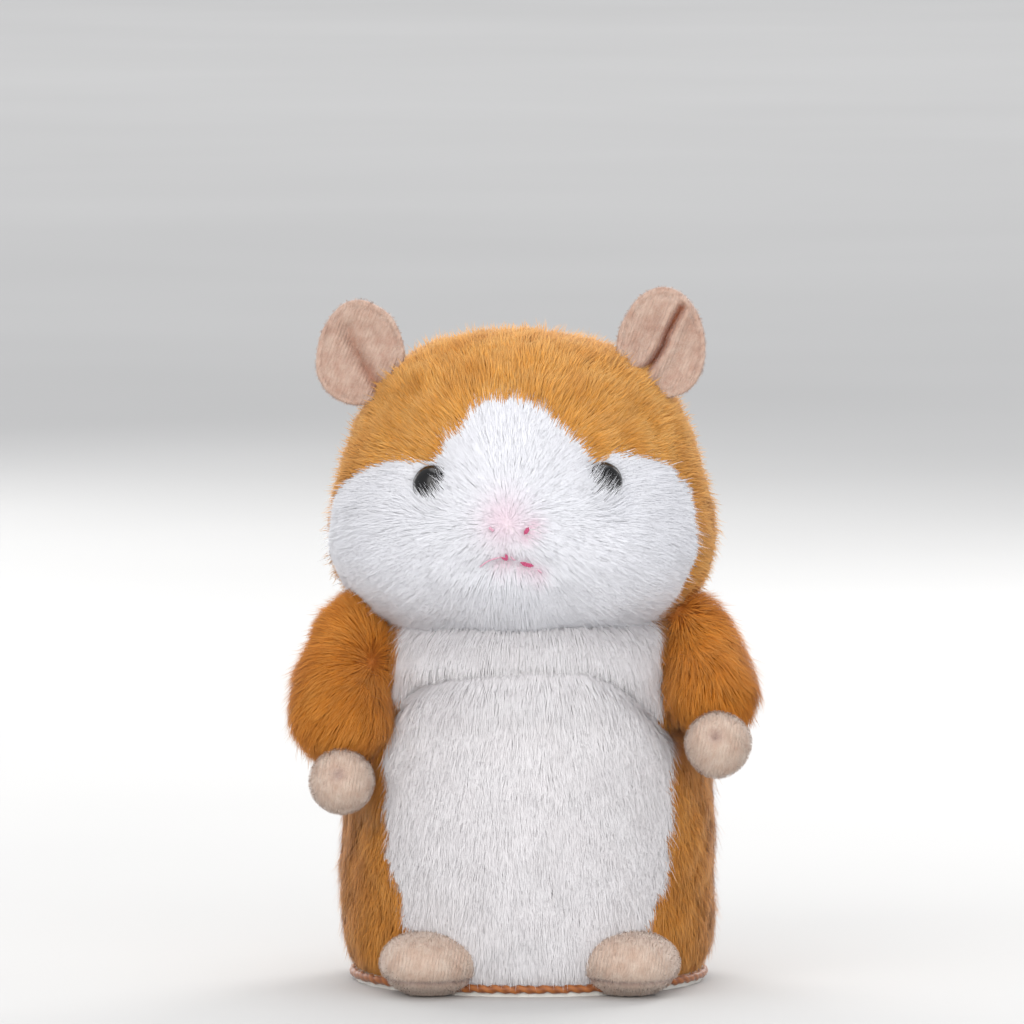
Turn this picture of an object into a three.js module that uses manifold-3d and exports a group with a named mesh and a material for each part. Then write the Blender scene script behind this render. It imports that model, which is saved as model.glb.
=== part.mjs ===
// Talking plush pet: a hamster whose head, chest and arms bob up and down on a motor drive.
// Millimetres, +Z up, the face looks along -Y, and z = 0 is the surface that it sits on.
import * as THREE from "three";
import { mergeVertices } from "three/addons/utils/BufferGeometryUtils.js";
import Module from "manifold-3d";

const wasm = await Module();
wasm.setup();

// ---- driving dimensions ----
const GAP = 0.3; // clearance between neighbouring pieces
const RUN = 0.3; // radial running clearance round shafts, pins and rods
const LIFT = 8; // how far the upper body rises
const FRONT = -43; // tips of the feet
const CREASE = 65.2; // top of the body plush, where the belly fold lies

const SIDES = 24; // round the plush forms
const TORSO = { y: 2, radius: 41 };
const HEAD = { x: -1.7, yaw: -3, depthRatio: 0.97 };
const SHELL = { rx: 31, ry: 29, wall: 1.6, bottom: 15.7, top: 60.6 };
const BASE = { rx: 38, ry: 37, y: 2, thick: 2.5 };
const WELL = { x: 27, y: 18.6, innerX: 25.4, innerY: 17.3, roof: 14, top: 15.4 };
const CELL = { r: 5.15, z: 8.4, pitch: 11.3, from: -19.9, to: 23.4, nubR: 1.9, nubLength: 1 };
const DOOR = { x: 25, back: 16.7, front: -16.9, low: 0.4, high: 2 };
const DOOR_SCREW_Y = -22.5;
const CAM = { z: 38, least: 5, pegR: 1, play: 0.2, front: -13.2, back: -11.2 };
const YOKE = { front: -15.4, back: -13.6, halfWidth: 6 };
const ROD = { x: 16, y: -14.5, r: 1.5, low: 21, high: 58.4 };
const PLATE = { front: [-10.8, -9.3], rear: [-2.7, -1.2], low: 20, high: 58.4 };
const TOOTH = 0.5; // gear module
const AXLE_R = 0.7;
const SHAFT_R = 1.5;
const SPEAKER = { z: 38, r: 14.5, rim: -22, back: -16.8 };
const BOARD = { z: 17.2, thick: 1.4, halfX: 17, front: -9, back: 20 };

// Gear train in the plane of the cam, from the output shaft back to the motor: centre as [x, z].
const OUTPUT = [0, CAM.z];
const GEAR_B = [8, 31.2];
const GEAR_A = [17, 36.6];
const MOTOR = [10.5, 45.78];

// ---- materials ----
const LOOKS = {
  orangePlush: { color: 0xd08a3c, roughness: 0.95 },
  whitePlush: { color: 0xe8e6e6, roughness: 0.95 },
  fleece: { color: 0xdeb8a4, roughness: 0.95 },
  filling: { color: 0xf4f4f0, roughness: 1 },
  eye: { color: 0x0a0808, roughness: 0.08 },
  thread: { color: 0xd2607c, roughness: 0.7 },
  housing: { color: 0xd9d6cf, roughness: 0.5 },
  gear: { color: 0xf1eee2, roughness: 0.4 },
  black: { color: 0x1c1c1e, roughness: 0.55 },
  board: { color: 0x2f6b43, roughness: 0.6 },
  steel: { color: 0xb9bcc0, roughness: 0.3, metalness: 1 },
  brassy: { color: 0xc8a860, roughness: 0.35, metalness: 1 },
  cell: { color: 0x3a3d42, roughness: 0.35, metalness: 0.4 },
  paper: { color: 0x4a4640, roughness: 0.9 },
};

const pet = new THREE.Group();
const head = new THREE.Group();
head.position.x = HEAD.x;
head.rotation.z = THREE.MathUtils.degToRad(HEAD.yaw);
pet.add(head);

function part(name, geometry, look, into = pet) {
  const mesh = new THREE.Mesh(geometry, new THREE.MeshStandardMaterial(LOOKS[look]));
  mesh.name = name;
  into.add(mesh);
  return mesh;
}

// ---- solids ----
function solidOf(geometry) {
  const bare = geometry.index ? geometry.toNonIndexed() : geometry.clone();
  bare.deleteAttribute("normal");
  bare.deleteAttribute("uv");
  const merged = mergeVertices(bare, 1e-4);
  return new wasm.Manifold(
    new wasm.Mesh({
      numProp: 3,
      vertProperties: merged.attributes.position.array,
      triVerts: new Uint32Array(merged.index.array),
    }),
  );
}

function geometryOf(solid) {
  const mesh = solid.getMesh();
  return new THREE.BufferGeometry()
    .setAttribute("position", new THREE.BufferAttribute(mesh.vertProperties, mesh.numProp))
    .setIndex(new THREE.BufferAttribute(mesh.triVerts, 1));
}

function combine(method, first, others) {
  return geometryOf(others.reduce((sum, other) => sum[method](solidOf(other)), solidOf(first)));
}

const join = (first, ...others) => combine("add", first, others);
const cut = (first, ...others) => combine("subtract", first, others);
const common = (first, ...others) => combine("intersect", first, others);

function box(x0, x1, y0, y1, z0, z1) {
  const size = new THREE.BoxGeometry(x1 - x0, y1 - y0, z1 - z0);
  return size.translate((x0 + x1) / 2, (y0 + y1) / 2, (z0 + z1) / 2);
}

// Upright cylinder, and one that lies along Y or X, each between two stations on its own axis.
function rodZ(r, z0, z1, x = 0, y = 0, sides = 16) {
  const rod = new THREE.CylinderGeometry(r, r, z1 - z0, sides).rotateX(Math.PI / 2);
  return rod.translate(x, y, (z0 + z1) / 2);
}

function rodY(r, y0, y1, [x, z], sides = 16) {
  return new THREE.CylinderGeometry(r, r, y1 - y0, sides).translate(x, (y0 + y1) / 2, z);
}

function rodX(r, x0, x1, y, z, sides = 16) {
  const rod = new THREE.CylinderGeometry(r, r, x1 - x0, sides).rotateZ(Math.PI / 2);
  return rod.translate((x0 + x1) / 2, y, z);
}

function ellipseColumn(rx, ry, z0, z1, y = 0, sides = 28) {
  const column = new THREE.CylinderGeometry(1, 1, z1 - z0, sides).rotateX(Math.PI / 2);
  return column.scale(rx, ry, 1).translate(0, y, (z0 + z1) / 2);
}

// A profile of [radius, height] points turned round the Y axis. It starts and ends on the axis, or
// closes itself.
function turnedY(profile, sides = 16) {
  const points = profile.map(([r, h]) => new THREE.Vector2(r, h));
  if (points[0].x > 0) points.push(points[0].clone());
  if (THREE.ShapeUtils.area(points) < 0) points.reverse();
  return new THREE.LatheGeometry(points, sides);
}

const turned = (profile, sides) => turnedY(profile, sides).rotateX(Math.PI / 2);

// Points of a smooth curve through a few [radius, height] points.
function flowing(points, count) {
  const curve = new THREE.SplineCurve(points.map(([r, z]) => new THREE.Vector2(r, z)));
  return curve.getPoints(count).map((p) => [Math.max(p.x, 0), p.y]);
}

// A flat outline of [x, z] points, thick along Y.
function plateY(outline, y0, y1) {
  const shape = new THREE.Shape(outline.map(([x, z]) => new THREE.Vector2(x, z)));
  const plate = new THREE.ExtrudeGeometry(shape, { depth: y1 - y0, bevelEnabled: false });
  return plate.rotateX(Math.PI / 2).translate(0, y1, 0);
}

function ellipsoid(rx, ry, rz, x, y, z, sides = 20) {
  return new THREE.SphereGeometry(1, sides, Math.round(sides * 0.6)).scale(rx, ry, rz).translate(x, y, z);
}

// A capsule of radius r between two points.
function sausage(r, from, to, sides = 12) {
  const [a, b] = [new THREE.Vector3(...from), new THREE.Vector3(...to)];
  const way = b.clone().sub(a);
  const capsule = new THREE.CapsuleGeometry(r, way.length(), 4, sides);
  return aimed(capsule, a.add(b).multiplyScalar(0.5), way, new THREE.Vector3(0, 1, 0));
}

// Turns a piece from its own axis onto a direction, and moves its origin to a point.
function aimed(geometry, at, direction, axis = new THREE.Vector3(0, 0, 1)) {
  const turn = new THREE.Quaternion().setFromUnitVectors(axis, direction.clone().normalize());
  return geometry.clone().applyQuaternion(turn).translate(at.x, at.y, at.z);
}

function tubeAlong(points, r, steps, sides = 6) {
  const round = new THREE.Shape().absarc(0, 0, r, 0, 2 * Math.PI);
  const path = new THREE.CatmullRomCurve3(points.map((p) => new THREE.Vector3(...p)));
  const options = { steps, curveSegments: sides, bevelEnabled: false, extrudePath: path };
  return new THREE.ExtrudeGeometry(round, options);
}

// ---- base: plate, battery bay and switch ----
const doorTabs = [-14, 14];

function basePlate() {
  const flange = ellipseColumn(BASE.rx, BASE.ry, 0, BASE.thick, BASE.y);
  const walls = box(-WELL.x, WELL.x, -WELL.y, WELL.y, BASE.thick - 1, WELL.top);
  const deck = ellipseColumn(SHELL.rx, SHELL.ry, WELL.roof - 0.2, WELL.top);
  const screwRoof = box(-6.5, 6.5, -28, -WELL.y + 1, BASE.thick, BASE.thick + 1.6);
  const screwBoss = rodZ(3.4, BASE.thick + 1, 9, 0, DOOR_SCREW_Y);
  const standoffs = [-14, 14].flatMap((x) =>
    [-5, 12].map((y) => rodZ(2, WELL.top - 1, BOARD.z - GAP, x, y, 10)),
  );
  const bay = box(-WELL.innerX, WELL.innerX, -WELL.innerY, WELL.innerY, -1, WELL.roof);
  const notch = box(-5.3, 5.3, -27, -WELL.innerY + 1, -1, BASE.thick);
  const boreR = 1.45; // lets the captive screw swing out with the door
  const screwBore = rodZ(boreR, 0, 8.2, 0, DOOR_SCREW_Y);
  const slots = doorTabs.map((x) => box(x - 3.6, x + 3.6, WELL.innerY - 1, WELL.y + 1, BASE.thick, 6.4));
  const switchSlot = box(-4.5, 4.5, 25, 29, -1, BASE.thick + 1);
  const body = join(flange, walls, deck, screwRoof, screwBoss, ...standoffs);
  return cut(body, bay, notch, screwBore, ...slots, switchSlot);
}

function batteryDoor() {
  const panel = box(-DOOR.x, DOOR.x, DOOR.front, DOOR.back, DOOR.low, DOOR.high);
  const tab = box(-5, 5, -26.5, DOOR.front + 1, DOOR.low, DOOR.high);
  const hooks = doorTabs.flatMap((x) => [
    box(x - 3, x + 3, 15.4, DOOR.back, DOOR.high - 0.5, 3.7),
    box(x - 3, x + 3, 15.4, 18.6, 2.8, 3.7),
  ]);
  const ribs = [-16, -8, 8, 16].map((x) => box(x - 0.5, x + 0.5, -14, 13.5, DOOR.high - 0.5, 2.7));
  const headSeat = rodZ(2.7, 0, 1.4, 0, DOOR_SCREW_Y);
  const hole = rodZ(1.3, 0, 3, 0, DOOR_SCREW_Y);
  return cut(join(panel, tab, ...hooks, ...ribs), headSeat, hole);
}

// A pan-head screw, head down at the origin, shank along +Z, with a cross in its head.
function screw(headR, headHigh, shankR, length) {
  const headSide = [[0, 0], [headR * 0.7, 0], [headR, headHigh * 0.5], [headR, headHigh]];
  const shank = [[shankR, headHigh], [shankR, length - shankR], [0, length]];
  const body = turned([...headSide, ...shank], 8);
  const arm = headR * 0.55;
  const slot = headR * 0.12;
  const deep = headHigh * 0.5;
  const cross = join(box(-arm, arm, -slot, slot, -1, deep), box(-slot, slot, -arm, arm, -1, deep));
  return cut(body, cross);
}

function battery(y, towards) {
  const body = rodX(CELL.r, CELL.from, CELL.to, 0, 0, 16);
  const nub = rodX(CELL.nubR, CELL.to - 0.5, CELL.to + CELL.nubLength, 0, 0, 12);
  return join(body, nub).rotateZ(towards > 0 ? 0 : Math.PI).translate(0, y, CELL.z);
}

function contactSpring(y, side) {
  const steps = 20; // 8 to a turn
  const coil = Array.from({ length: steps + 1 }, (_, i) => {
    const share = i / steps;
    const angle = (i / 8) * 2 * Math.PI;
    const r = 3.4 - 0.5 * share;
    return [side * (24.3 - 3.6 * share), y + r * Math.cos(angle), CELL.z + r * Math.sin(angle)];
  });
  return tubeAlong(coil, 0.32, steps, 4);
}

part("base_plate", basePlate(), "housing");
part("battery_door", batteryDoor(), "housing");
part("battery_door_screw", screw(2.4, 0.7, 1, 6).translate(0, DOOR_SCREW_Y, DOOR.low), "steel");
[-1, 0, 1].forEach((row) => {
  const towards = row === 0 ? -1 : 1; // the middle cell lies the other way round
  part(`battery_cell_${row + 2}`, battery(row * CELL.pitch, towards), "cell");
  part(`contact_spring_${row + 2}`, contactSpring(row * CELL.pitch, -towards), "steel");
});
part("contact_plate_left", box(-25.1, -24.9, -15.8, 15.8, 4, 13), "steel");
part("contact_plate_right", box(24.9, 25.1, -15.8, 15.8, 4, 13), "steel");

const knobTop = box(-1.2, 1.2, 26, 28, 2, 5);
const switchCase = box(-5.2, 5.2, 24.3, 29.7, BASE.thick + GAP, 7.5);
part("switch_body", cut(switchCase, box(-4.2, 4.2, 25.4, 28.6, 1, 5.6)), "black");
const knobGrip = join(box(-3.9, -0.6, 25.4, 28.6, 0.7, 2.4), knobTop.clone().translate(-2.3, 0, 0));
part("switch_knob", knobGrip, "black");

// ---- electronics ----
const board = box(-BOARD.halfX, BOARD.halfX, BOARD.front, BOARD.back, BOARD.z, BOARD.z + BOARD.thick);
part("circuit_board", cut(board, ...[-14, 14].map((x) => rodZ(0.8, 16, 20, x, -5, 8))), "board");
const chipZ = BOARD.z + BOARD.thick + GAP;
const chip = turned([[0, 0], [4, 0], [3.4, 0.7], [1.8, 1.2], [0, 1.3]], 16);
part("sound_chip", chip.translate(-6, 8, chipZ), "black");
part("microphone", rodY(3, -25, -20.5, [0, 55.6]), "steel");

function speakerFrame() {
  const { r, rim, back } = SPEAKER;
  const outside = [[r - 2.2, rim], [r, rim], [r, rim + 1.4], [9.6, back - 0.3]];
  const inside = [[8.2, back - 0.3], [8.2, back - 1.3], [9, back - 1.3], [r - 2.2, rim + 0.9]];
  return turnedY([...outside, ...inside], 16).translate(0, 0, SPEAKER.z);
}

function speakerCone() {
  const face = [[0, -19.4], [3.2, -19.4], [10, -21.6], [11.9, -21.6]];
  const rear = [[11.9, -21.3], [10, -21.2], [3.2, -18.9], [0, -18.9]];
  return turnedY([...face, ...rear], 16).translate(0, 0, SPEAKER.z);
}

part("speaker_frame", speakerFrame(), "steel");
part("speaker_cone", speakerCone(), "paper");
part("speaker_magnet", rodY(7.8, -18.4, SPEAKER.back, [0, SPEAKER.z], 20), "steel");

// ---- inner shells, parted at y = 0 ----
const bosses = [[-23, 24], [23, 24], [-23, 54], [23, 54]];
const SCREW_SEAT = 8; // depth of the screw heads' seat in the rear bosses

function closedShell() {
  const { rx, ry, wall, bottom, top } = SHELL;
  const outer = ellipseColumn(rx, ry, bottom, top);
  const inner = ellipseColumn(rx - wall, ry - wall, bottom - 1, top - wall);
  const room = 0.6;
  const [x, y0, y1] = [YOKE.halfWidth + room, YOKE.front - room, YOKE.back + room];
  const postSlot = join(box(-x, x, y0, y1, top - 3, top + 1), rodZ(3.8, top - 3, top + 1, 0, ROD.y));
  return cut(outer, inner, postSlot);
}

const shell = closedShell();
const shellOutside = ellipseColumn(SHELL.rx - 0.4, SHELL.ry - 0.4, SHELL.bottom, SHELL.top);

function frontShell() {
  const half = common(shell, box(-40, 40, -40, -GAP / 2, 0, 80));
  const pillars = bosses.map((at) => common(rodY(3, -30, -GAP / 2, at, 12), shellOutside));
  const grille = [-8, -4, 0, 4, 8].map((dz) => {
    const z = SPEAKER.z + dz;
    return box(-9, 9, -40, -24, z - 0.8, z + 0.8);
  });
  const pilots = bosses.map((at) => rodY(1.3, -9, 1, at, 10));
  return cut(join(half, ...pillars), ...grille, ...pilots);
}

function rearShell() {
  const half = common(shell, box(-40, 40, GAP / 2, 40, 0, 80));
  const pillars = bosses.map((at) => common(rodY(3, GAP / 2, 30, at, 12), shellOutside));
  const holes = bosses.flatMap((at) => [rodY(1.3, -1, 12, at, 10), rodY(2.3, SCREW_SEAT, 40, at, 12)]);
  return cut(join(half, ...pillars), ...holes);
}

part("front_shell", frontShell(), "housing");
part("rear_shell", rearShell(), "housing");
bosses.forEach(([x, z], i) => {
  const headHigh = 1.4;
  const lying = screw(1.9, headHigh, 1, 15).rotateX(Math.PI / 2);
  part(`shell_screw_${i + 1}`, lying.translate(x, SCREW_SEAT + GAP + headHigh, z), "steel");
});

// ---- gear train ----
// Outline of a spur gear with thinned teeth, one of them centred on the angle phase.
function gearOutline(teeth, phase, [x, z]) {
  const pitch = (teeth * TOOTH) / 2;
  const [root, tip] = [pitch - 1.15 * TOOTH, pitch + 0.85 * TOOTH];
  const base = pitch * Math.cos(THREE.MathUtils.degToRad(20));
  const spread = (r) => {
    const lean = Math.acos(Math.min(1, base / r));
    return Math.tan(lean) - lean;
  };
  const play = 0.09 / pitch; // half the backlash, as an angle
  const half = (r) => Math.PI / (2 * teeth) + spread(pitch) - spread(r) - play;
  const stations = [root, pitch, tip];
  const points = [];
  for (let i = 0; i < teeth; i++) {
    const middle = phase + (i / teeth) * 2 * Math.PI;
    stations.forEach((r) => points.push([r, middle - half(r)]));
    stations.toReversed().forEach((r) => points.push([r, middle + half(r)]));
  }
  return points.map(([r, angle]) => [x + r * Math.cos(angle), z + r * Math.sin(angle)]);
}

const angleTo = ([x0, z0], [x1, z1]) => Math.atan2(z1 - z0, x1 - x0);

// A pinion has a tooth on the line of centres, and the wheel that it drives has a gap there.
function pinion({ teeth, at, drives }, y0, y1) {
  return plateY(gearOutline(teeth, angleTo(at, drives), at), y0, y1);
}

function wheel({ teeth, at, drivenFrom }, y0, y1) {
  return plateY(gearOutline(teeth, angleTo(at, drivenFrom) + Math.PI / teeth, at), y0, y1);
}

// Levels along Y, from the cam's side to the motor's.
const LEVEL = { output: [-9, -7.2], b: [-6.9, -5.1], a: [-4.8, -3] };

function compoundGear(big, bigLevel, small, smallLevel) {
  const pair = join(wheel(big, ...bigLevel), pinion(small, smallLevel[0], bigLevel[0] + 0.2));
  return cut(pair, rodY(AXLE_R + RUN, -12, 0, big.at, 12));
}

function gearA() {
  const big = { teeth: 36, at: GEAR_A, drivenFrom: MOTOR };
  return compoundGear(big, LEVEL.a, { teeth: 10, at: GEAR_A, drives: GEAR_B }, LEVEL.b);
}

function gearB() {
  const big = { teeth: 32, at: GEAR_B, drivenFrom: GEAR_A };
  return compoundGear(big, LEVEL.b, { teeth: 10, at: GEAR_B, drives: OUTPUT }, LEVEL.output);
}

function outputGear() {
  const teeth = wheel({ teeth: 32, at: OUTPUT, drivenFrom: GEAR_B }, ...LEVEL.output);
  return cut(teeth, rodY(SHAFT_R + GAP, -12, 0, OUTPUT));
}

function motorPinion() {
  const teeth = pinion({ teeth: 9, at: MOTOR, drives: GEAR_A }, ...LEVEL.a);
  return join(teeth, rodY(0.75, LEVEL.a[1] - 0.5, 2, MOTOR, 10));
}

// Heart-shaped cam: its pitch radius grows evenly with the angle, so that the pegs above and below it
// stay a fixed distance apart and rise evenly through half a turn.
function camOutline() {
  const reach = CAM.pegR + CAM.play;
  const rise = LIFT / Math.PI;
  const lean = Math.atan(rise / CAM.least);
  const notch = [0, 0.25, 0.5, 0.75].map((share) => {
    const angle = share * lean;
    return [reach * Math.sin(angle), CAM.least - reach * Math.cos(angle)];
  });
  const steps = 16;
  const flank = Array.from({ length: steps }, (_, i) => {
    const turn = (i / steps) * Math.PI;
    const r = CAM.least + rise * turn;
    const [sin, cos] = [Math.sin(turn), Math.cos(turn)];
    const way = new THREE.Vector2(rise * sin + r * cos, rise * cos - r * sin).normalize();
    return [r * sin + reach * way.y, r * cos - reach * way.x];
  });
  const right = [...notch.slice(1), ...flank];
  const point = [0, -(CAM.least + LIFT - reach)];
  const left = right.toReversed().map(([x, z]) => [-x, z]);
  return [notch[0], ...right, point, ...left].map(([x, z]) => [x, z + CAM.z]);
}

part("motor_pinion", motorPinion(), "brassy");
part("gear_a", gearA(), "gear");
part("gear_b", gearB(), "gear");
part("output_gear", outputGear(), "gear");
part("output_shaft", rodY(SHAFT_R, CAM.front, PLATE.rear[1], OUTPUT), "steel");
const camBore = rodY(SHAFT_R + GAP, CAM.front - 1, CAM.back + 1, OUTPUT);
part("lift_cam", cut(plateY(camOutline(), CAM.front, CAM.back), camBore), "gear");
part("gear_axle_a", rodY(AXLE_R, PLATE.front[0] + 0.2, PLATE.rear[1] - 0.2, GEAR_A, 12), "steel");
part("gear_axle_b", rodY(AXLE_R, PLATE.front[0] + 0.2, PLATE.rear[1] - 0.2, GEAR_B, 12), "steel");

// ---- gearbox plates, guide rods and motor ----
const PLATE_HALF = 19.5;

function bearingHoles() {
  const axles = [GEAR_A, GEAR_B].map((at) => rodY(AXLE_R + RUN, -12, 0, at, 12));
  return [rodY(SHAFT_R + RUN, -12, 0, OUTPUT), ...axles];
}

function frontPlate() {
  const plate = box(-PLATE_HALF, PLATE_HALF, ...PLATE.front, PLATE.low, PLATE.high);
  const lugs = [-ROD.x, ROD.x].flatMap((x) =>
    [21.4, 56.4].map((z) => box(x - 2.6, x + 2.6, ROD.y - 2.8, PLATE.front[0] + 0.2, z, z + 2)),
  );
  const corners = [[-17, 22.5], [17, 22.5], [-17, 56], [17, 56]];
  const posts = corners.map((at) => rodY(2, PLATE.front[1] - 0.2, PLATE.rear[0] - GAP, at, 8));
  const rodBores = [-ROD.x, ROD.x].map((x) => rodZ(ROD.r + RUN, 15, 65, x, ROD.y));
  return cut(join(plate, ...lugs, ...posts), ...bearingHoles(), ...rodBores);
}

function rearPlate() {
  const plate = box(-PLATE_HALF, PLATE_HALF, ...PLATE.rear, PLATE.low, PLATE.high);
  return cut(plate, ...bearingHoles(), rodY(3.3, -4, 0, MOTOR));
}

function motor() {
  const front = PLATE.rear[1] + GAP;
  const [x, z] = MOTOR;
  const flats = box(x - 10, x + 10, front, front + 18, z - 6, z + 6);
  const can = common(rodY(7.5, front, front + 18, MOTOR, 24), flats);
  const bossFront = rodY(2.9, front - 1.2, front + 1, MOTOR, 16);
  const bossRear = rodY(3, front + 17, front + 19, MOTOR, 16);
  return cut(join(can, bossFront, bossRear), rodY(1.05, -4, 2.6, MOTOR, 10));
}

part("gearbox_front_plate", frontPlate(), "housing");
part("gearbox_rear_plate", rearPlate(), "housing");
part("motor", motor(), "steel");
part("guide_rod_left", rodZ(ROD.r, ROD.low, ROD.high, -ROD.x, ROD.y, 12), "steel");
part("guide_rod_right", rodZ(ROD.r, ROD.low, ROD.high, ROD.x, ROD.y, 12), "steel");

// ---- lifting side ----
const CARRIER = { low: 62, edge: 24, rim: 64.4, postR: 10, boreR: 8.4, postTop: 117.4 };
const SCREW_Z = 64.2; // seat of the carrier screw

function lifterYoke() {
  const top = CARRIER.low - GAP;
  const bar = box(-YOKE.halfWidth, YOKE.halfWidth, YOKE.front, YOKE.back, CAM.z - 15.2, top);
  const arm = box(-ROD.x, ROD.x, YOKE.front, YOKE.back, 44, 48);
  const sleeves = [-ROD.x, ROD.x].map((x) => rodZ(3, 44, 48, x, ROD.y));
  const boss = rodZ(3.2, 51.5, top, 0, ROD.y);
  const pegHeights = [CAM.z + CAM.least, CAM.z - CAM.least - LIFT];
  const pegs = pegHeights.map((z) => rodY(CAM.pegR, YOKE.back - 0.2, CAM.back - 0.2, [0, z], 16));
  const rodBores = [-ROD.x, ROD.x].map((x) => rodZ(ROD.r + RUN, 40, 52, x, ROD.y));
  return cut(join(bar, arm, ...sleeves, boss, ...pegs), ...rodBores, rodZ(1.3, 55, 70, 0, ROD.y, 10));
}

function headCarrier() {
  const { low, edge, rim, postR, boreR, postTop } = CARRIER;
  const outside = [[edge, low], [edge, rim], [postR, rim + 2], [postR, postTop]];
  const body = turned([[boreR, low], ...outside, [boreR, postTop]], 20).translate(HEAD.x, 0, 0);
  return cut(body, rodZ(3, SCREW_Z, 75, 0, ROD.y, 16), rodZ(1.3, 60, 75, 0, ROD.y, 10));
}

part("lifter_yoke", lifterYoke(), "gear");
part("head_carrier", headCarrier(), "housing");
const carrierScrew = screw(2.4, 1.4, 1, 8).rotateX(Math.PI);
part("carrier_screw", carrierScrew.translate(0, ROD.y, SCREW_Z + GAP + 1.4), "steel");

// ---- torso plush: body below the fold, chest above it ----
const torsoSide = flowing(
  [[38.5, 2.9], [40.2, 9], [TORSO.radius, 22], [40.8, 40], [39.4, 54], [37.6, CREASE]],
  7,
);
const CHEST_TOP = 78.3;
const chestSide = [[37.5, CREASE + 1], [37.2, 72], [35.6, CHEST_TOP]];

// Everything inside the torso's outside, grown by a margin, for keeping neighbours clear of it.
function torsoForm(margin) {
  const side = [...torsoSide, ...chestSide].map(([r, z]) => [r + margin, z]);
  const foot = [[0, -1], [torsoSide[0][0] + margin, -1]];
  return turned([...foot, ...side, [0, CHEST_TOP]], SIDES).translate(0, TORSO.y, 0);
}

const bodyInside = [[33, CREASE], [33, 20], [35.6, 16.6], [35.6, 2.9]];
part("body_plush", turned([...torsoSide, ...bodyInside], SIDES).translate(0, TORSO.y, 0), "orangePlush");
const chestInside = [[33.2, CHEST_TOP], [31, 75.2], [31.5, CREASE + 1]];
part("chest_plush", turned([...chestSide, ...chestInside], SIDES).translate(0, TORSO.y, 0), "whitePlush");

// ---- head ----
const NECK = { r: 20, z: 76.2 };
const jowls = [[NECK.r, NECK.z], [30, 78.6], [38, 84], [42.3, 93], [41.6, 103]];
const crown = [[39.4, 112], [36.4, 121], [30.5, 131], [20, 138.4], [0, 141.4]];
const headSide = flowing([...jowls, ...crown], 11);
const HEAD_WALL = 2.5;

// The head's outline moved inwards, along its own normals, by a depth.
function insideOf(outline, depth) {
  return outline.map(([r, z], i) => {
    const [r0, z0] = outline[Math.max(i - 1, 0)];
    const [r1, z1] = outline[Math.min(i + 1, outline.length - 1)];
    const length = Math.hypot(r1 - r0, z1 - z0);
    return [Math.max(r - (depth * (z1 - z0)) / length, 0), z + (depth * (r1 - r0)) / length];
  });
}

function onHead(geometry) {
  return geometry.scale(1, HEAD.depthRatio, 1);
}

function headForm(margin) {
  const side = insideOf(headSide, -margin);
  return onHead(turned([[0, NECK.z - margin], ...side.slice(0, -1), [0, side.at(-1)[1]]], SIDES));
}

// Point on the face, and the way out of it, at a place seen from the front.
function faceAt(x, z) {
  const index = headSide.findIndex((point) => point[1] > z);
  const [[r0, z0], [r1, z1]] = [headSide[index - 1], headSide[index]];
  const r = r0 + ((r1 - r0) * (z - z0)) / (z1 - z0);
  const y = -Math.sqrt(r * r - x * x);
  const point = new THREE.Vector3(x, y * HEAD.depthRatio, z);
  const out = new THREE.Vector3(x / r, y / r / HEAD.depthRatio, (r0 - r1) / (z1 - z0)).normalize();
  return { point, out };
}

const EYE = { x: 19, z: 111.4, r: 4.1, postR: 1.4 };
const WASHER = { r: 4.6, levels: [-4.3, -3.3] };
const eyes = [["left", -EYE.x], ["right", EYE.x]].map(([side, x]) => ({ side, ...faceAt(x, EYE.z) }));
const bead = [[EYE.r - 0.4, -0.6], [EYE.r, 0.3], [3.8, 1.4], [2.9, 2.4], [1.5, 3], [0, 3.2]];
const eyeOutline = [[0, -7.5], [EYE.postR, -7.5], [EYE.postR, -0.6], ...bead];

function headShell() {
  const inside = insideOf(headSide, HEAD_WALL);
  const neck = [[0, NECK.z - 1], [NECK.r, NECK.z - 1]];
  const hollow = onHead(turned([...neck, ...inside.slice(0, -1), [0, inside.at(-1)[1]]], SIDES));
  const pockets = eyes.map(({ point, out }) => {
    const pocket = join(rodZ(EYE.r + 0.4, -0.9, 6, 0, 0, 12), rodZ(EYE.postR + GAP, -9, 0, 0, 0, 12));
    return aimed(pocket, point, out);
  });
  return cut(headForm(0), hollow, ...pockets);
}

function headFilling() {
  const inside = insideOf(headSide, HEAD_WALL + 0.8);
  const floor = 81.5;
  const side = inside.filter(([, z]) => z > floor).slice(0, -1);
  const bore = CARRIER.postR + 0.5;
  const outside = [[0, floor], [side[0][0] - 5, floor], ...side, [0, inside.at(-1)[1]]];
  const solid = onHead(turned(outside, SIDES));
  const pockets = eyes.map(({ point, out }) => aimed(rodZ(5.2, -8.4, 2, 0, 0, 10), point, out));
  return cut(solid, rodZ(bore, 70, CARRIER.postTop + 0.6, 0, 0, 20), ...pockets);
}

const headPlush = headShell();
const FACE = { y: -8, top: 112 };
const faceRoom = (margin) => box(-60, 60, -60, FACE.y + margin, 60, FACE.top + margin);
part("head_plush_face", common(headPlush, faceRoom(0)), "whitePlush", head);
part("head_plush_back", cut(headPlush, faceRoom(GAP)), "orangePlush", head);
part("head_filling", headFilling(), "filling", head);
eyes.forEach(({ side, point, out }) => {
  part(`eye_${side}`, aimed(turned(eyeOutline, 12), point, out), "eye", head);
  const washer = cut(rodZ(WASHER.r, ...WASHER.levels, 0, 0, 12), rodZ(EYE.postR + GAP, -9, 0, 0, 0, 12));
  part(`eye_washer_${side}`, aimed(washer, point, out), "gear", head);
});

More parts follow.
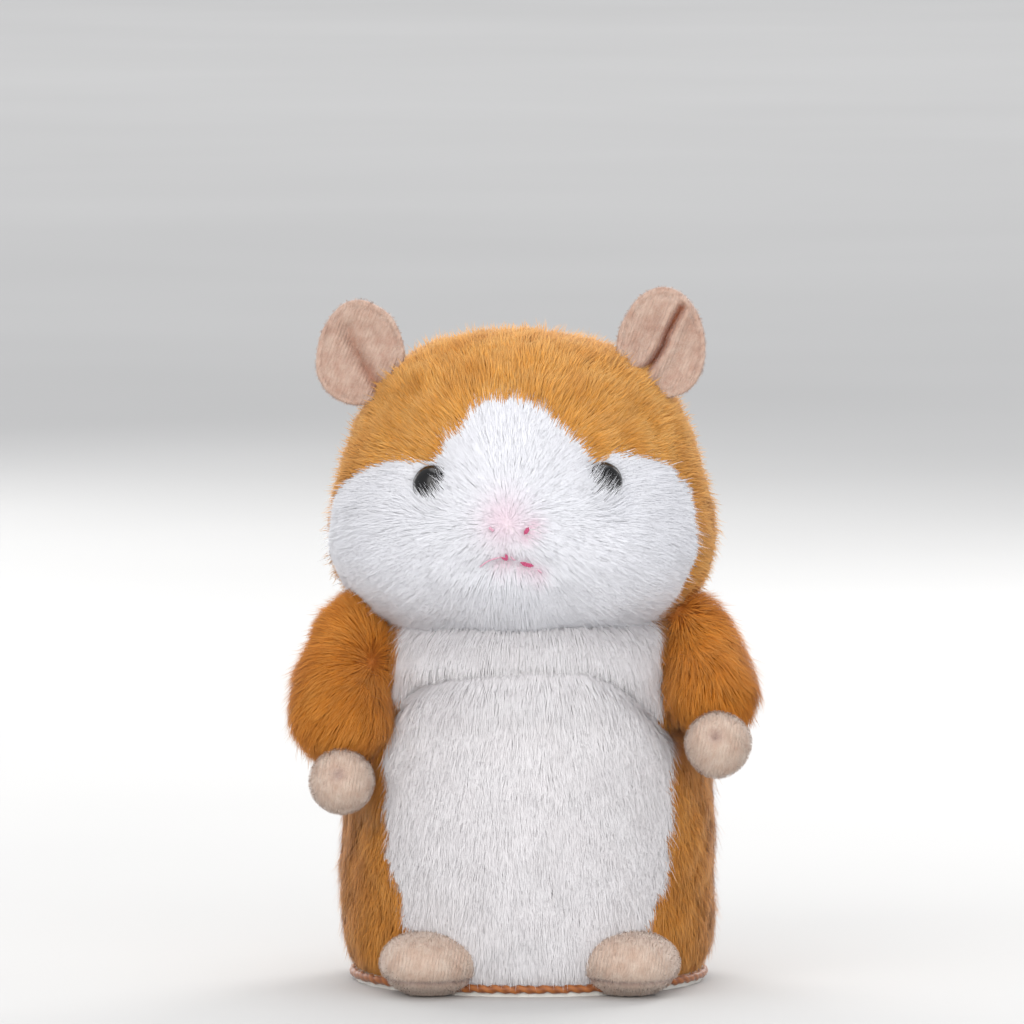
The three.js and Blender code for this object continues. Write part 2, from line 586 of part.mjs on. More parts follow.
// Short raised threads, just proud of the face.
const noseY = faceAt(0, 101).point.y - 0.8;
const mouthY = faceAt(0, 93).point.y - 0.8;
const noseRoute = [[-4.2, noseY, 102.2], [0, noseY, 99.8], [4.4, noseY, 102.2]];
const mouthLine = [[-6, 92], [-3, 92.6], [0, 94.6], [3, 92.6], [6.4, 91.3]];
const mouthRoute = mouthLine.map(([x, z]) => [x, mouthY, z]);
part("nose_stitching", tubeAlong(noseRoute, 0.4, 6, 5), "thread", head);
part("mouth_stitching", tubeAlong(mouthRoute, 0.4, 10, 5), "thread", head);

// Ears lean outwards and back from the crown and are hollowed towards the front.
function ear(x, y, z, lean) {
  const cup = cut(ellipsoid(9.6, 2.8, 13, 0, 0, 0, 14), ellipsoid(7.6, 2.4, 10.6, 0, -2.6, 1, 12));
  const leaning = cup.rotateX(THREE.MathUtils.degToRad(-14)).rotateY(THREE.MathUtils.degToRad(lean));
  return cut(leaning.translate(x, y, z), headForm(0.5));
}

part("ear_left", ear(-34.9, -4, 136.1, -17), "fleece", head);
part("ear_right", ear(30.1, -7, 138, 22.8), "fleece", head);

// ---- arms, hands and feet ----
head.updateMatrixWorld();
const headRoom = headForm(0.6).applyMatrix4(head.matrixWorld);
const ARM_R = 12;
const limbs = {
  left: { shoulder: [-35, -13, 72], wrist: [-39.9, -18, 57.5], hand: [-40.3, -26.5, 45.5] },
  right: { shoulder: [35, -13, 72], wrist: [39.9, -20, 64], hand: [40.6, -28, 53.8] },
};

Object.entries(limbs).forEach(([side, { shoulder, wrist, hand }]) => {
  const arm = cut(sausage(ARM_R, shoulder, wrist), torsoForm(0.6), headRoom);
  part(`arm_${side}`, arm, "orangePlush");
  const paw = cut(ellipsoid(7, 7, 7, ...hand, 12), sausage(ARM_R + GAP, shoulder, wrist), torsoForm(0.6));
  part(`hand_${side}`, paw, "fleece");
});

function foot(side) {
  const splay = THREE.MathUtils.degToRad(15) * side;
  const sole = ellipsoid(11.5, 15, 7.6, 0, 0, 0, 14).rotateZ(splay).translate(21 * side, FRONT + 14.8, 6.6);
  return cut(sole, box(-60, 60, -60, 60, -5, 0), torsoForm(0.5));
}

part("foot_left", foot(-1), "fleece");
part("foot_right", foot(1), "fleece");

export default pet;
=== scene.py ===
import math

import bpy
import numpy as np
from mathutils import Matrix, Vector, kdtree


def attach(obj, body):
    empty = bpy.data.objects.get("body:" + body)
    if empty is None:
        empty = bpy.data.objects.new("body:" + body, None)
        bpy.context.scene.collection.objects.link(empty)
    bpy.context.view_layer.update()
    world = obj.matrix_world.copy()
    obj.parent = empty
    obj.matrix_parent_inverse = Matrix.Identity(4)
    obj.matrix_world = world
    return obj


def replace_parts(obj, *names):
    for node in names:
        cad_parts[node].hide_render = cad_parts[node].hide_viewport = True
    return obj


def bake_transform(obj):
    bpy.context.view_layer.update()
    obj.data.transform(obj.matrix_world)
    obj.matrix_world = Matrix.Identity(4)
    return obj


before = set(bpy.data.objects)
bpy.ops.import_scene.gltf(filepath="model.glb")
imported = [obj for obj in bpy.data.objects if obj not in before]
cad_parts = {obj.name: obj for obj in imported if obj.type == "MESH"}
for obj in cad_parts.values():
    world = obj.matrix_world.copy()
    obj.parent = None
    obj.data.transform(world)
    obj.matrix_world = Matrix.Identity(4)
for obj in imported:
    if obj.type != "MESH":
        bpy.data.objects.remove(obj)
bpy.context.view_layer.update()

# Plush talking pet: fur coats, fleece ears and paws, glossy eyes and stitching round the packed
# frame. Forms are worked out in millimetres in the frame's axes and turned into metres when a mesh
# is made.
rng = np.random.default_rng(11)
MM = 0.001
DENSITY = 1.0  # share of the strands that is made

FUR_DEPTH = 2.4  # from the fabric's backing to the outside of the coat
FIBRES_PER_MM2 = {"head": 16, "torso": 14, "arms": 12}
HEAD_X = -1.7  # the head sits a little off the middle
HEAD_YAW = math.radians(-3)  # and is turned a little
HEAD_DEPTH = 0.97  # share of its half-width that it reaches to the front and the back
TORSO_Y = 2  # where the torso's upright axis is
# Places on the head are degrees round from the middle of the face, and height.
NOSE_AZ, NOSE_Z = -1.2, 102.0
EYE_PLACES = {"left": (-28.1, 110.6), "right": (30.4, 111.0)}
EYE_SINK = 1.2  # how far the eyes sit behind the outside of the coat
EYE_CLEAR = 4.6  # no fibres grow nearer than this to the middle of an eye
EAR_LEAN = 0.25  # how far an ear leans back over its height
# The ears' outlines hold at this depth; further back, a point looks higher from the front.
SEEN_Y, SEEN_RISE = 2, 0.0785

# Outside of the head's coat: [radius, height].
HEAD_SIDE = [
    (0.3, 75.6), (12, 75.8), (20, 76.2), (30, 78.6), (38, 84), (42.3, 93), (41.6, 103),
    (39.4, 112), (36.4, 121), (30.5, 131), (20, 138.4), (9, 140.9), (0.3, 141.4),
]
# White part of the face: [degrees round from the middle of the face, height].
FACE_EDGE = [
    (-87, 103.1), (-79.9, 107.4), (-67.9, 110.7), (-58.3, 113.2), (-50.4, 114.8), (-43.3, 115.7),
    (-35.1, 115.4), (-30.1, 115.1), (-28, 116.1), (-27.2, 117.2), (-26.7, 119.5), (-22.9, 122.2),
    (-19.2, 124.5), (-17.4, 126.1), (-14.3, 127.7), (-8.4, 128.4), (-1.2, 128.8), (5.9, 127.8),
    (12.8, 126.5), (16.9, 124.3), (20.8, 122), (24.8, 120), (27, 117.7), (28.3, 116),
    (29.9, 114.9), (32.7, 115.6), (35.3, 116.5), (41.5, 116.6), (49.4, 116.1), (56.4, 114.8),
    (63.7, 112.5), (69.6, 108.9), (73.1, 104.1), (72.3, 98.9), (69, 93.8), (68, 88.4),
    (66.5, 83.8), (60, 79.5), (45, 76), (0, 74), (-40, 76), (-62, 79.5), (-74, 84),
    (-85, 88), (-90, 94), (-90, 100),
]
# Bumps and hollows of the head: degrees round, height, half-width, half-height, how far out.
HEAD_SHAPING = [
    (NOSE_AZ, 98, 13.5, 10, 3.0),  # muzzle
    (NOSE_AZ, 103, 6, 4, 0.8),  # bridge of the nose
    (-40, 90, 14, 9, 1.5),  # jowls
    (40, 90, 14, 9, 1.5),
    (*EYE_PLACES["left"], 5.6, 5.6, -1.7),  # eye sockets
    (*EYE_PLACES["right"], 5.6, 5.6, -1.7),
    (NOSE_AZ, 94.2, 8, 1.8, -1.1),  # mouth
    (0, 86.5, 9, 5, 1.0),  # chin
    (NOSE_AZ, 134, 1.4, 9, -0.5),  # seam over the crown
]
# Skin of the torso: [radius, height], from the hem up to the neck under the head.
TORSO_SIDE = [
    (33.8, 4.8), (34.4, 3.5), (35.8, 3.1), (37.3, 5.5), (38.4, 10), (39.2, 22), (38.5, 38),
    (36.9, 52), (35.6, 61), (35.0, 67), (34.6, 73), (33.2, 77.6), (30, 80), (25, 80.4),
]
BELLY_EDGE = [
    (-53, 90), (-53, 46), (-50, 30), (-43, 16), (-33, 5), (-29, -2), (29, -2), (33, 5), (43, 16),
    (50, 30), (53, 46), (53, 90),
]
# Height of the fold over the belly, by degrees round.
FOLD_AZ = [-180, -75, -56, -48, -44, -40, -35, -30, 0, 20, 30, 37, 43, 49, 55, 75, 180]
FOLD_Z = [64, 60, 58, 63, 66, 67.2, 68.3, 69, 70.6, 70.5, 67.9, 65.3, 62.2, 59.1, 56, 57, 64]

# Ear outlines and creases as seen from the front: [x, z]. y is the depth of an ear's middle, and
# deep and narrow are the crease's. lip is how far its edges stand up. shade is how dark the painted
# shade along the crease is, from its top to its foot.
EARS = {
    "left": {
        "edge": [
            (-26.8, 136.5), (-28.0, 140.8), (-29.9, 144.2), (-32.9, 146.5), (-36.6, 147.8),
            (-39.9, 147.1), (-42.5, 144.8), (-44.9, 140.8), (-46.0, 136.1), (-45.9, 131.5),
            (-43.9, 127.9), (-40.6, 125.6), (-36.6, 124.8), (-33.2, 125.8), (-30.6, 128.2),
            (-28.0, 131.6),
        ],
        "crease": [(-39.4, 141.6), (-37.7, 137.2), (-35.7, 133.7), (-34.2, 131), (-32.4, 128.4)],
        "y": -3.5, "deep": 1.6, "narrow": 1.2, "lip": 0.6, "shade": (0.15, 0.6),
    },
    "right": {
        "edge": [
            (20.6, 132.6), (18.9, 136.8), (19.2, 140.2), (21.2, 144.8), (24.5, 148.9),
            (28.5, 150.5), (32.5, 149.5), (35.8, 146.1), (37.8, 140.8), (38.1, 136.1),
            (37.1, 131.5), (34.5, 128.1), (31.0, 126.6), (27.6, 126.7), (24.2, 129.0),
        ],
        "crease": [
            (32.9, 145.9), (30.9, 142.4), (29.7, 140.1), (28.8, 137.6), (27.4, 135.3),
            (25.9, 133.3), (22.6, 130.9),
        ],
        "y": -7, "deep": 2.6, "narrow": 0.8, "lip": 1.2, "shade": (0.9, 0.95),
    },
}


# ---- small helpers ----
def unit(v):
    return v / np.maximum(np.linalg.norm(v, axis=-1, keepdims=True), 1e-9)


def dot(a, b):
    return (a * b).sum(-1, keepdims=True)


def flowing(points, count):
    """Evenly spaced points on a smooth curve through a few points."""
    p = np.asarray(points, float)
    far = np.r_[0, np.cumsum(np.linalg.norm(np.diff(p, axis=0), axis=1))]
    slope = np.gradient(p, far, axis=0)
    t = np.linspace(0, far[-1], count)
    i = np.clip(np.searchsorted(far, t, "right") - 1, 0, len(p) - 2)
    h = (far[i + 1] - far[i])[:, None]
    s = (t - far[i])[:, None] / h
    start = (2 * s**3 - 3 * s**2 + 1) * p[i] + (s**3 - 2 * s**2 + s) * h * slope[i]
    return start + (3 * s**2 - 2 * s**3) * p[i + 1] + (s**3 - s**2) * h * slope[i + 1]


def ripple(points, size, seed):
    """Smooth noise from about -1 to 1 that changes over a distance of size."""
    own = np.random.default_rng(seed)
    ways = unit(own.standard_normal((7, 3)))
    lengths = size * own.uniform(1.4, 2.8, 7)
    phases = own.uniform(0, 2 * math.pi, 7)
    waves = np.sin(points @ (ways / lengths[:, None]).T * 2 * math.pi + phases)
    return waves.sum(1) / 2.6


def inside(edge, az, z):
    """Which points lie inside a closed outline."""
    edge = np.asarray(edge, float)
    found = np.zeros(len(az), bool)
    for (a0, z0), (a1, z1) in zip(edge, np.roll(edge, -1, axis=0)):
        if z0 == z1:
            continue
        crossed = (z0 > z) != (z1 > z)
        found ^= crossed & (az < (a1 - a0) * (z - z0) / (z1 - z0) + a0)
    return found


def grid_faces(rows, columns):
    """Quads of a sheet that closes round its columns, facing out if those run anticlockwise."""
    i = np.arange(rows - 1)[:, None] * columns
    j = np.arange(columns)[None, :]
    a, b = i + j, i + (j + 1) % columns
    return np.stack([a, b, b + columns, a + columns], -1).reshape(-1, 4)


def normals_of(points, faces):
    a, b, c, d = (points[faces[:, k]] for k in range(4))
    across = np.cross(c - a, d - b)
    total = np.zeros_like(points)
    for k in range(4):
        np.add.at(total, faces[:, k], across)
    return unit(total)


def mesh_of(name, points, faces, smooth=True):
    """An object from points in millimetres and one or more arrays of faces."""
    sets = faces if isinstance(faces, list) else [faces]
    sizes = np.concatenate([np.full(len(f), f.shape[1]) for f in sets])
    corners = np.concatenate([f.ravel() for f in sets]).astype(np.int32)
    mesh = bpy.data.meshes.new(name)
    mesh.vertices.add(len(points))
    mesh.vertices.foreach_set("co", (points * MM).astype(np.float32).ravel())
    mesh.loops.add(len(corners))
    mesh.loops.foreach_set("vertex_index", corners)
    mesh.polygons.add(len(sizes))
    starts = np.r_[0, np.cumsum(sizes)[:-1]].astype(np.int32)
    mesh.polygons.foreach_set("loop_start", starts)
    mesh.polygons.foreach_set("use_smooth", np.full(len(sizes), smooth))
    mesh.update(calc_edges=True)
    piece = bpy.data.objects.new(name, mesh)
    bpy.context.scene.collection.objects.link(piece)
    return piece


def give(piece, name, values):
    """Stores one number per vertex, which the materials read."""
    layer = piece.data.attributes.new(name, "FLOAT", "POINT")
    layer.data.foreach_set("value", np.asarray(values, np.float32))


def lined(piece, thick):
    """Gives an open sheet its fabric's thickness, on the inner side."""
    wall = piece.modifiers.new("thickness", "SOLIDIFY")
    wall.thickness = thick * MM
    wall.offset = -1
    bpy.context.view_layer.update()
    graph = bpy.context.evaluated_depsgraph_get()
    done = bpy.data.meshes.new_from_object(piece.evaluated_get(graph))
    piece.modifiers.clear()
    piece.data = done


def dressed(piece, material, slot):
    piece.data.materials.append(material)
    return piece


# ---- materials ----
def colour(code):
    """Linear colour of a #rrggbb code."""
    parts = [int(code[k : k + 2], 16) / 255 for k in (1, 3, 5)]
    linear = [c / 12.92 if c <= 0.04045 else ((c + 0.055) / 1.055) ** 2.4 for c in parts]
    return (*linear, 1.0)


class Look:
    """A material with one Principled shader and short calls for the nodes that drive it."""

    def __init__(self, name, roughness, metallic=0.0, **sockets):
        self.material = bpy.data.materials.new(name)
        self.material.use_nodes = True
        self.tree = self.material.node_tree
        self.shader = self.tree.nodes["Principled BSDF"]
        self.shader.inputs["Roughness"].default_value = roughness
        self.shader.inputs["Metallic"].default_value = metallic
        for socket, value in sockets.items():
            self.shader.inputs[socket.replace("_", " ")].default_value = value

    def node(self, kind, **settings):
        made = self.tree.nodes.new(kind)
        for key, value in settings.items():
            setattr(made, key, value)
        return made

    def link(self, source, target):
        self.tree.links.new(source, target)

    def attribute(self, name):
        return self.node("ShaderNodeAttribute", attribute_name=name).outputs["Fac"]

    def place(self, scale=(1, 1, 1), turn=(0, 0, 0)):
        coordinates = self.node("ShaderNodeTexCoord").outputs["Object"]
        mapping = self.node("ShaderNodeMapping")
        mapping.inputs["Scale"].default_value = scale
        mapping.inputs["Rotation"].default_value = turn
        self.link(coordinates, mapping.inputs["Vector"])
        return mapping.outputs["Vector"]

    def noise(self, scale, detail=3.0, place=None):
        made = self.node("ShaderNodeTexNoise")
        made.inputs["Scale"].default_value = scale
        made.inputs["Detail"].default_value = detail
        self.link(place or self.place(), made.inputs["Vector"])
        return made.outputs["Fac"]

    def ramp(self, value, *stops):
        made = self.node("ShaderNodeValToRGB")
        elements = made.color_ramp.elements
        while len(elements) < len(stops):
            elements.new(0.5)
        for element, (at, code) in zip(elements, stops):
            element.position = at
            element.color = colour(code)
        self.link(value, made.inputs["Fac"])
        return made.outputs["Color"]

    def span(self, value, low, high, from_low=0.0, from_high=1.0):
        made = self.node("ShaderNodeMapRange")
        for socket, number in (
            ("From Min", from_low), ("From Max", from_high), ("To Min", low), ("To Max", high),
        ):
            made.inputs[socket].default_value = number
        self.link(value, made.inputs["Value"])
        return made.outputs["Result"]

    def mix(self, share, first, second):
        """A mix of two colours, each a socket or a #rrggbb code."""
        made = self.node("ShaderNodeMix", data_type="RGBA")
        self.link(share, made.inputs[0])
        for value, socket in ((first, 6), (second, 7)):
            if isinstance(value, str):
                made.inputs[socket].default_value = colour(value)
            else:
                self.link(value, made.inputs[socket])
        return made.outputs[2]

    def times(self, first, second):
        made = self.node("ShaderNodeMath", operation="MULTIPLY")
        self.link(first, made.inputs[0])
        self.link(second, made.inputs[1])
        return made.outputs[0]

    def paint(self, value):
        self.link(value, self.shader.inputs["Base Color"])

    def rough(self, value):
        self.link(value, self.shader.inputs["Roughness"])

    def bump(self, *layers):
        """Bump from pairs of a height and its depth in millimetres."""
        last = None
        for height, depth in layers:
            made = self.node("ShaderNodeBump")
            made.inputs["Distance"].default_value = depth * MM
            self.link(height, made.inputs["Height"])
            if last:
                self.link(last, made.inputs["Normal"])
            last = made.outputs["Normal"]
        self.link(last, self.shader.inputs["Normal"])


def fur_look(name, root, middle, tip, patch, blush=None, streaks=1.0):
    """Pile fibres: one colour at the root, one at the tip, with streaks and broad patches."""
    look = Look(name, 0.8, Sheen_Weight=0.25, Sheen_Roughness=0.45, Specular_IOR_Level=0.18)
    along = look.ramp(look.attribute("tip"), (0.0, root), (0.45, middle), (1.0, tip))
    patchy = look.mix(look.span(look.noise(120, 6), 0, 0.6, 0.36, 0.7), along, patch)
    streak = look.span(look.attribute("seed"), 1 - 0.18 * streaks, 1 + 0.12 * streaks)
    tuft = look.span(look.attribute("tuft"), 1 - 0.1 * streaks, 1 + 0.06 * streaks)
    shade = look.times(streak, tuft)
    shaded = look.node("ShaderNodeVectorMath", operation="SCALE")
    look.link(patchy, shaded.inputs[0])
    look.link(shade, shaded.inputs["Scale"])
    painted = shaded.outputs[0]
    if blush:
        painted = look.mix(look.attribute("blush"), painted, blush)
    look.paint(painted)
    look.rough(look.span(look.attribute("seed"), 0.7, 0.9))
    return look.material


def backing_look(name, low, high):
    """The fabric that the pile is knitted into."""
    look = Look(name, 0.95)
    knitted = look.ramp(look.noise(700, 3), (0.35, low), (0.7, high))
    look.paint(look.mix(look.attribute("blush"), knitted, "#eab4c8"))
    look.rough(look.span(look.noise(900, 2), 0.88, 1.0))
    knit = look.node("ShaderNodeTexVoronoi")
    knit.inputs["Scale"].default_value = 1100
    look.link(look.place(), knit.inputs["Vector"])
    look.bump((knit.outputs["Distance"], 0.25))
    return look.material


def fleece_look(name, low, high, fold_shade, turn):
    """Short-nap fleece: fine knitted ribs under the nap, mottled, with painted shade in a fold."""
    look = Look(name, 0.92, Sheen_Weight=0.35, Sheen_Roughness=0.5, Specular_IOR_Level=0.15)
    mottled = look.ramp(look.noise(420, 5), (0.3, low), (0.72, high))
    ribs = look.node("ShaderNodeTexWave", wave_type="BANDS", bands_direction="Z")
    ribs.inputs["Scale"].default_value = 420
    ribs.inputs["Distortion"].default_value = 2.5
    ribs.inputs["Detail"].default_value = 2
    ribs.inputs["Detail Scale"].default_value = 2
    look.link(look.place(turn=turn), ribs.inputs["Vector"])
    ribbed = look.mix(look.span(ribs.outputs["Fac"], 0.0, 0.22), mottled, low)
    # The fold colour is painted shade, darkest in creases, dimples and seams.
    look.paint(look.mix(look.attribute("fold_shade"), ribbed, fold_shade))
    look.rough(look.span(look.noise(800, 2), 0.85, 1.0))
    look.bump((ribs.outputs["Fac"], 0.12), (look.noise(1500, 3), 0.2))
    return look.material


def nap_look(name, low, high, fold_shade):
    """Loose fibres standing up from fleece."""
    look = Look(name, 0.85, Sheen_Weight=0.3, Sheen_Roughness=0.5, Specular_IOR_Level=0.15)
    mottled = look.ramp(look.noise(420, 4), (0.3, low), (0.7, high))
    # Painted shade in a fold, as on the fleece.
    look.paint(look.mix(look.attribute("fold_shade"), mottled, fold_shade))
    look.rough(look.span(look.attribute("seed"), 0.75, 0.95))
    return look.material


def thread_look(name, dark, light):
    look = Look(name, 0.5, Sheen_Weight=0.3, Sheen_Roughness=0.4)
    # Darker in the grooves between the two plies: painted shade.
    look.paint(look.mix(look.attribute("ply"), dark, light))
    look.rough(look.span(look.noise(2500, 2), 0.4, 0.65))
    look.bump((look.noise(5000, 2), 0.03))
    return look.material


def plastic_look(name, low, high, roughness, grain=0.02):
    """Moulded plastic: faint flow marks in the colour, fine spark-eroded texture."""
    look = Look(name, roughness, IOR=1.49)
    look.paint(look.ramp(look.noise(60, 5), (0.3, low), (0.7, high)))
    look.rough(look.span(look.noise(350, 4), roughness - 0.08, roughness + 0.1))
    look.bump((look.noise(4200, 2), grain))
    return look.material


def metal_look(name, low, high, roughness):
    look = Look(name, roughness, metallic=1.0)
    brushed = look.noise(1, 4, look.place(scale=(40, 900, 900)))
    look.paint(look.ramp(brushed, (0.3, low), (0.7, high)))
    look.rough(look.span(brushed, roughness - 0.1, roughness + 0.12))
    look.bump((brushed, 0.01))
    return look.material


def board_look():
    look = Look("circuit_board", 0.35, IOR=1.5)
    tracks = look.node("ShaderNodeTexBrick")
    tracks.inputs["Scale"].default_value = 260
    tracks.inputs["Mortar Size"].default_value = 0.012
    tracks.inputs["Color1"].default_value = colour("#2a6a40")
    tracks.inputs["Color2"].default_value = colour("#2f7347")
    tracks.inputs["Mortar"].default_value = colour("#4f9462")
    look.link(look.place(), tracks.inputs["Vector"])
    look.paint(look.mix(look.span(look.noise(200, 3), 0, 0.3), tracks.outputs["Color"], "#1f5433"))
    look.rough(look.span(look.noise(500, 3), 0.28, 0.45))
    look.bump((tracks.outputs["Fac"], 0.03))
    return look.material


def cell_look():
    """Printed metal jacket of a dry cell: a plain two-colour sleeve, with no lettering."""
    look = Look("cell_jacket", 0.3, metallic=0.4)
    split = look.node("ShaderNodeSeparateXYZ")
    look.link(look.place(), split.inputs["Vector"])
    band = look.span(split.outputs["X"], 0, 1, 0.0108, 0.0112)
    sleeve = look.ramp(look.noise(150, 3), (0.3, "#35383d"), (0.7, "#42464c"))
    look.paint(look.mix(band, sleeve, "#b8863c"))
    look.rough(look.span(look.noise(700, 3), 0.22, 0.38))
    return look.material


def paper_look():
    look = Look("cone_paper", 0.9)
    look.paint(look.ramp(look.noise(1200, 5), (0.3, "#35322e"), (0.7, "#5a554d")))
    look.rough(look.span(look.noise(900, 3), 0.82, 1.0))
    look.bump((look.noise(2600, 4), 0.05))
    return look.material


def eye_look():
    """Polished black acrylic."""
    look = Look("eye_gloss", 0.2, IOR=1.5)
    look.paint(look.ramp(look.noise(500, 2), (0.3, "#060505"), (0.7, "#0d0a09")))
    look.rough(look.span(look.noise(900, 3), 0.17, 0.24))
    return look.material


LOOKS = {
    "white_fur": fur_look("white_fur", "#e2e2e6", "#e6e6ea", "#e9e9ed", "#e4e4e8", "#e2a6bc", 0.3),
    # The chest's fur is the white fur made greyer and warmer: painted shade.
    "chest_fur": fur_look("chest_fur", "#ddd9da", "#e5e2e3", "#e9e7e8", "#e0dcdd", None, 0.35),
    "crown_fur": fur_look("crown_fur", "#bf7028", "#db9a45", "#dfb271", "#c17d31"),
    "arm_fur": fur_look("arm_fur", "#a9570f", "#c87820", "#ce9148", "#b5671a"),
    "back_fur": fur_look("back_fur", "#ad6119", "#cf8730", "#d29c58", "#bd7830"),
    "white_backing": backing_look("white_backing", "#dcdadb", "#e6e4e5"),
    "orange_backing": backing_look("orange_backing", "#a95f1e", "#c17a32"),
    # The ears' fleece and nap are the beige fleece made darker than on the paws: partly painted
    # shade.
    "ear_fleece": fleece_look("ear_fleece", "#b39180", "#c9b0a0", "#a8603c", (0, 1.2, 0)),
    "ear_nap": nap_look("ear_nap", "#ba9b8b", "#cfb9aa", "#ac6844"),
    "paw_fleece": fleece_look("paw_fleece", "#bda18f", "#cfbbab", "#a08380", (0, 1.4, 0)),
    "paw_nap": nap_look("paw_nap", "#c4ab9a", "#d6c5b7", "#a88c86"),
    "thread": thread_look("pink_thread", "#a52c58", "#c6567f"),
    "pale_thread": thread_look("pale_thread", "#c58ea2", "#d9a9b9"),
    "hem_thread": thread_look("hem_thread", "#7c3f12", "#a8632a"),
    "eye": eye_look(),
}

CAD_LOOKS = {
    "housing": plastic_look("housing_plastic", "#d3d0c8", "#dedbd4", 0.48),
    "gear_plastic": plastic_look("gear_plastic", "#ebe7da", "#f4f1e7", 0.38, 0.01),
    "black_plastic": plastic_look("black_plastic", "#161618", "#232326", 0.5),
    "steel": metal_look("steel", "#a9adb1", "#c6c9cc", 0.3),
    "aluminium": metal_look("aluminium", "#b9bcc0", "#d0d3d6", 0.36),
    "brass": metal_look("brass", "#bb9a50", "#d3b56e", 0.32),
    "board": board_look(),
    "cell_jacket": cell_look(),
    "cone_paper": paper_look(),
    "filling": plastic_look("fibre_filling", "#ecebe6", "#f8f7f3", 0.85, 0.3),
    "orange_plush": LOOKS["orange_backing"],
    "white_plush": LOOKS["white_backing"],
    "beige_fleece": LOOKS["ear_fleece"],
    "eye_gloss": LOOKS["eye"],
    "pink_thread": LOOKS["thread"],
}


# ---- strands ----
def scatter(points, normals, faces, per_mm2):
    """Roots spread evenly over a sheet, with the way out of it at each."""
    triangles = np.concatenate([faces[:, [0, 1, 2]], faces[:, [0, 2, 3]]])
    a, b, c = (points[triangles[:, k]] for k in range(3))
    areas = np.linalg.norm(np.cross(b - a, c - a), axis=1) / 2
    count = int(areas.sum() * per_mm2 * DENSITY)
    pick = rng.choice(len(triangles), count, p=areas / areas.sum())
    u, v = np.sqrt(rng.random(count)), rng.random(count)
    share = np.stack([1 - u, u * (1 - v), u * v], 1)[:, :, None]
    corner = triangles[pick]
    return (points[corner] * share).sum(1), unit((normals[corner] * share).sum(1))


def nearest(points, among):
    tree = kdtree.KDTree(len(among))
    for k, at in enumerate(among):
        tree.insert(at, k)
    tree.balance()
    return np.array([tree.find(at)[1] for at in points])


KNEE = 0.45  # where a fibre bends, as a share of its length
TUFT = 30  # one fibre in this many leads a tuft
LOWEST = 0.2  # the height that no fibre goes below
# The white parts have a calm, fine coat with few strays.
CALM = {
    "width": 0.12, "lift": (25, -3), "sway": 3, "stray": 5, "gather": 0.03, "guard": 0.02,
    "roll": 0.15, "even": 1,
}


def coat(
    name, roots, out, lay, length, width=0.13, lift=(32, -3), sway=9, stray=7, gather=0.2,
    guard=0.08, extra=0, roll=0.35, even=0,
):
    """Tapered bent fibres that lie along lay, gathered into loose tufts.

    In degrees, lift is how steeply a fibre's foot and tip stand up, sway turns the lie in broad
    waves, stray turns each fibre and extra raises it. guard is the share of fibres that stand
    out, gather pulls tips together, roll (in radians) turns a fibre's flat side, and even, from
    0 to 1, calms the coat. length and extra are one number or one per root.
    """
    count = len(roots)
    raised = np.where(rng.random(count) < guard, rng.uniform(10, 32, count), 0) + extra
    lay = unit(lay - dot(lay, out) * out)
    across = np.cross(out, lay)
    turn = np.radians(sway * ripple(roots, 4.5, 5) + stray * rng.standard_normal(count))[:, None]
    lay = np.cos(turn) * lay + np.sin(turn) * across
    waves, loose = ripple(roots, 3.5, 6), 1 - 0.6 * even
    rise, fall = (
        start + raised + (swell * waves + 5 * rng.standard_normal(count)) * loose
        for start, swell in zip(lift, (6, 4))
    )
    rise, fall = np.radians(rise)[:, None], np.radians(fall)[:, None]
    long = (length * rng.uniform(0.78, 1.14, count) * (1 + 0.1 * ripple(roots, 5, 7)))[:, None]
    first = np.cos(rise) * lay + np.sin(rise) * out
    second = np.cos(fall) * lay + np.sin(fall) * out
    middle = roots + first * long * KNEE
    tip = middle + second * long * (1 - KNEE)
    tuft = np.zeros(count)
    if gather:
        leaders = np.arange(0, count, TUFT)
        own = leaders[nearest(roots, roots[leaders])]
        hold = gather * rng.uniform(0.5, 1.3, count)[:, None]
        tip = tip + (tip[own] - tip) * hold
        middle = middle + (middle[own] - middle) * hold * KNEE
        tuft = rng.random(count)[own]
    flat = unit(np.cross(first, out))
    upright = np.cross(flat, first)
    tilt = rng.uniform(-roll, roll, count)[:, None]
    half = (np.cos(tilt) * flat + np.sin(tilt) * upright) * width / 2
    foot = half * 0.7
    points = np.stack([roots - foot, roots + foot, middle - half, middle + half, tip], 1)
    points[..., 2] = np.maximum(points[..., 2], LOWEST)
    k = np.arange(count)[:, None] * 5
    piece = mesh_of(name, points.reshape(-1, 3), [k + [0, 1, 3, 2], k + [2, 3, 4]])
    # The fibres are lit like the coat they lie on, or a little more from their root's side.
    bent, ahead = (unit(out - second * share * (1 - even)) for share in (0.2, 0.35))
    lit = np.stack([out, out, bent, bent, ahead], 1)
    piece.data.normals_split_custom_set_from_vertices(lit.reshape(-1, 3).tolist())
    give(piece, "tip", np.tile([0, 0, 0.5, 0.5, 1], count))
    give(piece, "seed", np.repeat(rng.random(count), 5))
    give(piece, "tuft", np.repeat(tuft, 5))
    return piece


def in_pieces(name, count, limit=60000):
    """Names and slices that keep each piece of a coat to a fair size."""
    parts = max(1, math.ceil(count / limit))
    step = math.ceil(count / parts)
    for k in range(parts):
        yield f"{name}_{k + 1}" if parts > 1 else name, slice(k * step, (k + 1) * step)


# ---- head ----
def turned_head(points):
    """From the head's own axes into the frame's."""
    cos, sin = math.cos(HEAD_YAW), math.sin(HEAD_YAW)
    x, y, z = points.T
    return np.stack([x * cos - y * sin + HEAD_X, x * sin + y * cos, z], 1)


